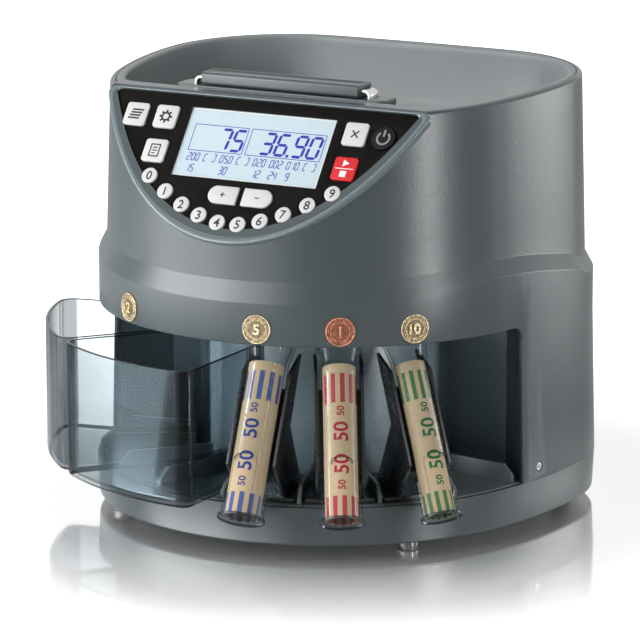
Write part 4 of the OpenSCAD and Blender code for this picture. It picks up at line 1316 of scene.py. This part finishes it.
def sector(r_in, r_out, half, margin, c_out, c_in):
    """Bay-shaped outline about its own mid azimuth: parallel margins and round corners."""
    b = half - math.degrees(math.asin((margin + c_out) / (r_out - c_out)))
    d = half - math.degrees(math.asin((margin + c_in) / (r_in + c_in)))

    def corner(centre, radius, first, last):
        return [centre + ray(radius, t) for t in spread(first, last, 8)]

    out = [ray(r_out, t) for t in spread(-b, b, 24)[1:-1]]
    out += corner(ray(r_out - c_out, b), c_out, b, half + 90.0)
    out += corner(ray(r_in + c_in, d), c_in, half + 90.0, 180.0 + d)
    out += [ray(r_in, t) for t in spread(d, -d, 12)[1:-1]]
    out += corner(ray(r_in + c_in, -d), c_in, 180.0 - d, 270.0 - half)
    out += corner(ray(r_out - c_out, -b), c_out, -half - 90.0, -b)
    return out


def coin_cup(node, azimuth):
    """Clear cup over two bays with a soft bottom edge and a channel over the rib between them."""
    past = 5.0
    low = DECK_TOP + CUP_LIFT
    high = low + CUP_H
    r_in = DRUM_R + CUP_GAP
    margin = RIB_T / 2.0 + RIB_GAP
    hub = CUP_R - CUP_CORNER
    start = BAY_PITCH - math.degrees(math.asin((margin + CUP_CORNER) / hub))
    centre = ray(hub, start)

    def row(inset, z):
        return raised(sector(r_in + inset, CUP_R - inset, BAY_PITCH, margin + inset, CUP_CORNER - inset,
                             CUP_BACK_CORNER - inset), z)

    def at_corner(p):
        arm = Vector((p.x, abs(p.y))) - centre
        return start + 3.0 < math.degrees(math.atan2(arm.y, arm.x)) < BAY_PITCH + 87.0

    def bend(inset, z, radius):
        turns = spread(0, math.pi / 2, 6)
        return [row(inset + radius * (1.0 - math.sin(t)), z + radius * (1.0 - math.cos(t))) for t in turns]

    rows = bend(0.0, low, CUP_SOFT)
    rows += [row(inset, high - drop) for inset, drop in CUP_LIP]
    rows += [row(CUP_WALL - inset, high - drop) for inset, drop in reversed(CUP_LIP)]
    rows += reversed(bend(CUP_WALL, low + CUP_WALL, CUP_SOFT - 1.0))
    cup = loft(rows, wrap=False, caps=True)
    top = DECK_TOP + RIB_H + RIB_GAP
    out = RIB_OUT + 2.0

    def tunnel(grow, first, bottom):
        section = [(first, bottom), (out + grow, bottom), (out + grow, low + TUNNEL_NOSE + grow),
                   (out - TUNNEL_SLOPE + grow, top + grow), (first, top + grow)]
        bm = plates([section], -margin - grow, margin + grow)
        bm.transform(turned(90.0, "X"))
        return bm

    bm = carve(cup, [("UNION", tunnel(CUP_WALL, r_in + CUP_WALL / 2.0, low + CUP_WALL / 2.0)),
                     ("DIFFERENCE", tunnel(0.0, r_in - past, low - past))])
    bm.normal_update()
    # Rim and bottom fold faces take the darkest edge material and corner faces the darker corner material,
    # painted shade standing in for refraction
    for face in bm.faces:
        middle = face.calc_center_median()
        fold = middle.z < low + CUP_SOFT and -0.9 < face.normal.z < -0.45
        if fold or middle.z > high - 0.45:
            face.material_index = 2
        elif abs(face.normal.z) < 0.4 and at_corner(middle):
            face.material_index = 1
    place = at_azimuth(azimuth)
    paints = [smoke, cup_corner_shade, cup_edge_shade]
    return make(node + "_clear", bm, paints, node, "smoke", node, place=place, sharp=38.0)


def coin_tube(i):
    """Clear tube: funnel mouth cut level, floor with a rolled rim, thumb slot at the front."""
    bore = ROLL_D[i] / 2.0 + ROLL_GAP
    out = bore + TUBE_WALL
    foot = -ROLL_L - TUBE_BOTTOM
    room = 60.0
    wide = 200.0
    rim = out + TUBE_RIM
    profile = rounded([(DRAIN_R, foot, 0), (rim, foot, 0.7), (rim, foot + 2.2, 0.8), (out, foot + 2.9, 0.4),
                       (out, MOUTH_FROM, 6.0), (out + MOUTH_FLARE, MOUTH_L, 0),
                       (bore + MOUTH_FLARE, MOUTH_L, 0), (bore, MOUTH_FROM, 6.0), (bore, -ROLL_L, 0),
                       (DRAIN_R, -ROLL_L, 0)])
    slot = plates([rounded_box(2.0 * SLOT_L, SLOT_W, 4.0)], 0.0, out + 5.0)
    slot.transform(shifted(0, 0, -ROLL_L + 0.3) @ turned(90.0, "Y"))
    keep = plates([rounded_box(room, room, 1.0)], -ROLL_L - 0.05, -ROLL_L + room)
    slot = carve(slot, [("INTERSECT", keep)])
    lid = plates([rounded_box(wide, wide, 1.0)], 0.0, room)
    place = on_tube(i)
    lid.transform(place.inverted() @ Matrix.Translation(place.translation)
                  @ shifted(0, 0, MOUTH_TOP - ROLL_TOP))
    bm = carve(lathe([(p.x, p.y) for p in profile]), [("DIFFERENCE", slot), ("DIFFERENCE", lid)])
    bm.normal_update()
    for face in bm.faces:
        # Cut faces and the floor's outer lip take the darker edge material, painted shade in place of
        # refraction
        middle = face.calc_center_median()
        radial = Vector((middle.x, middle.y, 0.0)).normalized()
        cut = middle.z > foot + 4.0 and abs(face.normal.dot(radial)) < 0.6
        lip = middle.z < foot + 3.0 and middle.xy.length > out and face.normal.z < 0.6
        face.material_index = int(cut or lip)
    body = "tube_%d" % (i + 1)
    node = "coin_" + body
    return make(node + "_clear", bm, [clear, tube_edge_shade], body, "clear", node, place=place, sharp=38.0)


def roll_wrapper(i):
    """Open paper roll: thin wall, crimped bottom edge, ink bars by its own UV map."""
    d = ROLL_D[i] / 2.0
    profile = [(d - CRIMP_W, -ROLL_L), (d - 0.5, -ROLL_L), (d, -ROLL_L + 0.6)]
    profile += [(d, z) for z in spread(-ROLL_L + 6.0, -6.0, 12)]
    profile += [(d, -0.2), (d - PAPER_T / 2, 0.0), (d - PAPER_T, -0.2), (d - PAPER_T, -ROLL_L + 1.2),
                (d - CRIMP_W, -ROLL_L + 1.0)]
    bm = lathe(profile)
    uv = bm.loops.layers.uv.new("around")
    for face in bm.faces:
        middle = face.calc_center_median()
        turn = math.atan2(middle.y, middle.x)
        for corner in face.loops:
            co = corner.vert.co
            own = math.atan2(co.y, co.x)
            own += 2 * math.pi * round((turn - own) / (2 * math.pi))
            corner[uv].uv = (own / (2 * math.pi), 1.0 + co.z / ROLL_L)
    body = "tube_%d" % (i + 1)
    node = "roll_wrapper_%d" % (i + 1)
    make(node + "_paper", bm, kraft[i], body, "paper", node, place=on_tube(i))
    for size, along in ROLL_NUMBERS:
        digits = numeral_mesh("50", size, 0.02 * size)
        bmesh.ops.subdivide_edges(digits, edges=digits.edges, cuts=1)
        for v in digits.verts:
            radius = d + ROLL_NUMBER_LIFT + v.co.z
            turn = -v.co.y / d
            v.co = Vector((radius * math.cos(turn), radius * math.sin(turn), along + v.co.x))
        make("%s_number_%d" % (node, -along), digits, roll_ink[i], body, "paper", place=on_tube(i))


# Small parts


LABELS = ((-71.5, "8", gold), (-30.0, "2", gold), (10.0, "5", gold), (30.0, "1", copper), (48.0, "10", gold))


def on_skirt(azimuth, x, y, height):
    """Place on the skirt beside a label's centre, and some height off it."""
    base = FRONT_R - SKIRT_INSET
    turn = azimuth + math.degrees(x / base)
    return Vector((*((base + height) * heading(turn)), SKIRT_Z + LABEL_RISE + y))


def coin_label(number, azimuth, text, paint, nodes):
    """Round coin-like label on the skirt: raised rim, sunk field and a plain number."""
    def ring(radius, height, count):
        return [on_skirt(azimuth, *ray(radius, t), height) for t in spread(0.0, 360.0, count)[:-1]]

    rings = [ring(share * LABEL_R, height, LABEL_POINTS) for share, height in LABEL_PROFILE]
    bm = loft(rings, wrap=False, caps=True)
    for k, face in enumerate(bm.faces):
        face.material_index = int(k // LABEL_POINTS in LABEL_SUNK_ROWS)
    name = "coin_label_%d" % number
    make(name, bm, paint, "machine", "label", *nodes)
    digits = numeral_mesh(text, LABEL_DIGIT, 0.22)
    for v in digits.verts:
        v.co = on_skirt(azimuth, v.co.x, v.co.y, LABEL_DIGIT_Z + LABEL_DIGIT_STRETCH * v.co.z)
    make(name + "_number", digits, paint[0], "machine", "label")
    outward = Vector((*heading(azimuth), 0.0))
    beads = [(p, outward) for p in ring(BEAD_RING * LABEL_R, BEAD_Z, BEAD_COUNT)]
    studs.grow(name + "_beads", beads, "machine", "label", paint[0], stud_radius=BEAD_R, stud_height=BEAD_H)


def housing_screws():
    """Cross-headed screws sunk in the housing's wall."""
    places = []
    for angle in SCREW_ANGLES:
        place = at_edge(angle, SCREW_Z)
        outward = place.to_3x3() @ Vector((0.0, 0.0, 1.0))
        places.append((place.translation - SCREW_SINK * outward, outward))
    screws.grow("screw_heads", places, "machine", "steel", steel, "housing_screws",
                head_radius=SCREW_HEAD_R, head_height=SCREW_HEAD_H)


def disc_studs():
    """Ring of low studs that carries the coins round with the disc."""
    _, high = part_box("coin_disc")
    up = Vector((0.0, 0.0, 1.0))
    ring = raised([STUD_RING * heading(turn) for turn in range(0, 360, STUD_PITCH)], high.z / MM)
    studs.grow("disc_studs", [(p, up) for p in ring], "disc", "steel", steel, stud_radius=STUD_R,
               stud_height=STUD_H)


def grip():
    """Handle bar: softened edges and a long shallow recess in its top."""
    border = 2.2 * MM
    recess = 0.7 * MM
    bm = solid_copy("handle_grip")
    top = max((f for f in bm.faces if f.normal.z > 0.99), key=lambda f: f.calc_area())
    bmesh.ops.inset_region(bm, faces=[top], thickness=border, depth=0.0)
    bmesh.ops.inset_region(bm, faces=[top], thickness=recess, depth=-recess)
    bevel_sharp(bm, 60.0, 0.8, 3)
    return make("grip_bar", bm, slate_plastic, "handle", "slate", "handle_grip", sharp=25.0, unit=1.0)


def paint_solids():
    """Materials for the solids that show as they are."""
    finishes = {
        black_plastic: ("panel_plate", "exit_chutes", "disc_pulley", "motor_pulley", "upper_chassis"),
        rubber: ("drive_belt",),
        board_green: ("key_board", "main_board"),
        steel: ("sort_ring", "spindle", "bearings", "drive_motor", "power_supply"),
        window: ("display_glass",),
        display: ("display_module",),
    }
    for paint, nodes in finishes.items():
        for node in nodes:
            mesh = frame["nodes"][node].data
            mesh.materials.clear()
            mesh.materials.append(paint)


# Studio


def seen(tree, gloss):
    """One for rays to the camera and through clear pieces, and a share for rays in gloss."""
    path = tree.nodes.new("ShaderNodeLightPath")
    camera_ray = Wire(tree, path.outputs["Is Camera Ray"])
    glossy_ray = Wire(tree, path.outputs["Is Glossy Ray"])
    through_ray = Wire(tree, path.outputs["Is Transmission Ray"])
    return (camera_ray + glossy_ray * gloss + through_ray).clamp()


def white_floor():
    """Pale floor: polished close to the machine, white away from it, and with less glow of its own near the
    machine, a painted shade round its base.
    """
    corners = [(x * FLOOR_HALF, y * FLOOR_HALF, 0) for x, y in ((-1, -1), (1, -1), (1, 1), (-1, 1))]
    mesh = bpy.data.meshes.new("studio_floor")
    mesh.from_pydata(corners, [], [(0, 1, 2, 3)])
    paint = Paint("studio_floor", (0.80, 0.80, 0.80), 0.3, gloss=0.3)
    paint.uneven(0.3, 0.04, paint.noise(4.0))
    x, y, _ = paint.axes(paint.place())
    # Glow grows with distance from the machine's edge: the weaker glow near the base is painted shade there
    away = ((x * x + y * y) ** 0.5 - FRONT_R * MM).clamp()
    glow = (FLOOR_GLOW + GLOW_GAIN * away).clamp() * seen(paint.tree, GLOW_IN_GLOSS)
    paint.set("Emission Color", paint.blend(glow, (0.0, 0.0, 0.0), (1.0, 1.0, 1.0)))
    paint.set("Emission Strength", 1.0)
    polish = paint.node("ShaderNodeBsdfGlossy", Color=(1.0, 1.0, 1.0), Roughness=0.06)
    paint.finish(paint.mix((POLISH - away / POLISH_REACH).clamp(), paint.own_surface(), polish))
    mesh.materials.append(paint.material)
    add_object("studio_floor", mesh)


def white_backdrop():
    """White to the camera, dimmer in gloss at the front, and a faint light on all sides."""
    world = bpy.data.worlds.new("studio_world")
    world.use_nodes = True
    tree = Tree(world.node_tree)
    back = world.node_tree.nodes["Background"]
    back.inputs["Color"].default_value = (1.0, 1.0, 1.0, 1.0)
    split = tree.node("ShaderNodeSeparateXYZ", Vector=tree.node("ShaderNodeTexCoord", output="Generated"))
    across = Wire(tree.tree, split.socket.node.outputs["Y"])
    sky = FRONT_SKY + (1.0 - FRONT_SKY) * (2.5 * across - 0.2).clamp()
    plug(tree.tree, back.inputs["Strength"], AMBIENT + (1.0 - AMBIENT) * seen(tree.tree, sky))
    bpy.context.scene.world = world


def softbox(name, azimuth, distance, height, width, tall, radiance, in_gloss):
    """Rectangular lamp at an azimuth round the machine, turned towards it."""
    light = bpy.data.lights.new(name, "AREA")
    light.shape = "RECTANGLE"
    light.size = width
    light.size_y = tall
    light.energy = radiance * width * tall * math.pi
    lamp = add_object(name, light)
    place = Vector((*(distance * heading(azimuth)), height))
    target = Vector((0.0, 0.0, min(height, AIM_TOP)))
    lamp.location = place
    lamp.rotation_euler = (target - place).to_track_quat("-Z", "Y").to_euler()
    lamp.visible_glossy = in_gloss


def camera():
    """The photograph's viewpoint, aimed so that no lens shift is needed."""
    rise = math.radians(VIEW_RISE)
    right = Vector((*ray(1.0, VIEW_AZIMUTH), 0.0))
    forward = Vector((*(-math.cos(rise) * heading(VIEW_AZIMUTH)), -math.sin(rise)))
    up = right.cross(forward)
    eye = Vector(VIEW_FOCUS) * MM - forward * VIEW_DISTANCE * MM
    aim = forward - right * (VIEW_SHIFT[0] / VIEW_PIXELS) - up * (VIEW_SHIFT[1] / VIEW_PIXELS)
    side = aim.cross(up).normalized()
    top = side.cross(aim).normalized()
    data = bpy.data.cameras.new("photo_camera")
    data.sensor_width = SENSOR
    data.lens = VIEW_PIXELS * SENSOR / PHOTO_PIXELS
    item = add_object("photo_camera", data)
    basis = Matrix((side, top, -aim.normalized())).transposed()
    item.matrix_world = Matrix.Translation(eye) @ basis.to_4x4()
    bpy.context.scene.camera = item


bpy.context.scene.view_settings.view_transform = "Standard"
camera()
white_floor()
white_backdrop()
for lamp_values in SOFTBOXES:
    softbox(*lamp_values)
body_housing()
base_shell()
front_land()
hopper()
panel_frame()
soften("panel_overlay", overlay_film, "overlay", 0.2)
keys()
lcd()
coin_cup("cup_front", -BAY_PITCH)
coin_cup("cup_rear", -3.0 * BAY_PITCH)
for index in range(3):
    coin_tube(index)
    roll_wrapper(index)
    soften("tube_stand_%d" % (index + 1), stand_plastic, "black", 0.5)
for index, (where, figure, finish) in enumerate(LABELS):
    coin_label(index + 1, where, figure, finish, ("coin_labels",) if index == 0 else ())
grip()
soften("handle_straps", chrome, "chrome", 0.3)
soften("handle_guide", slate_plastic, "slate", 1.2, segments=3)
# Bay floor and wall take the lightened colours, painted light inside the bays
soften("bay_floor", bay_floor_painted_light_plastic, "slate", 0.5)
soften("bay_wall", bay_wall_painted_light_plastic, "black", 0.3)
soften("jamb_panels", slate_plastic, "slate", 0.4)
soften("rubber_feet", foot_plastic, "rubber", 0.8, segments=3)
housing_screws()
disc_studs()
soften("rear_ports", black_plastic, "black", 0.6)
soften("coin_disc", steel, "steel", 0.8)
soften("hub_cap", black_plastic, "black", 1.5, segments=4)
paint_solids()
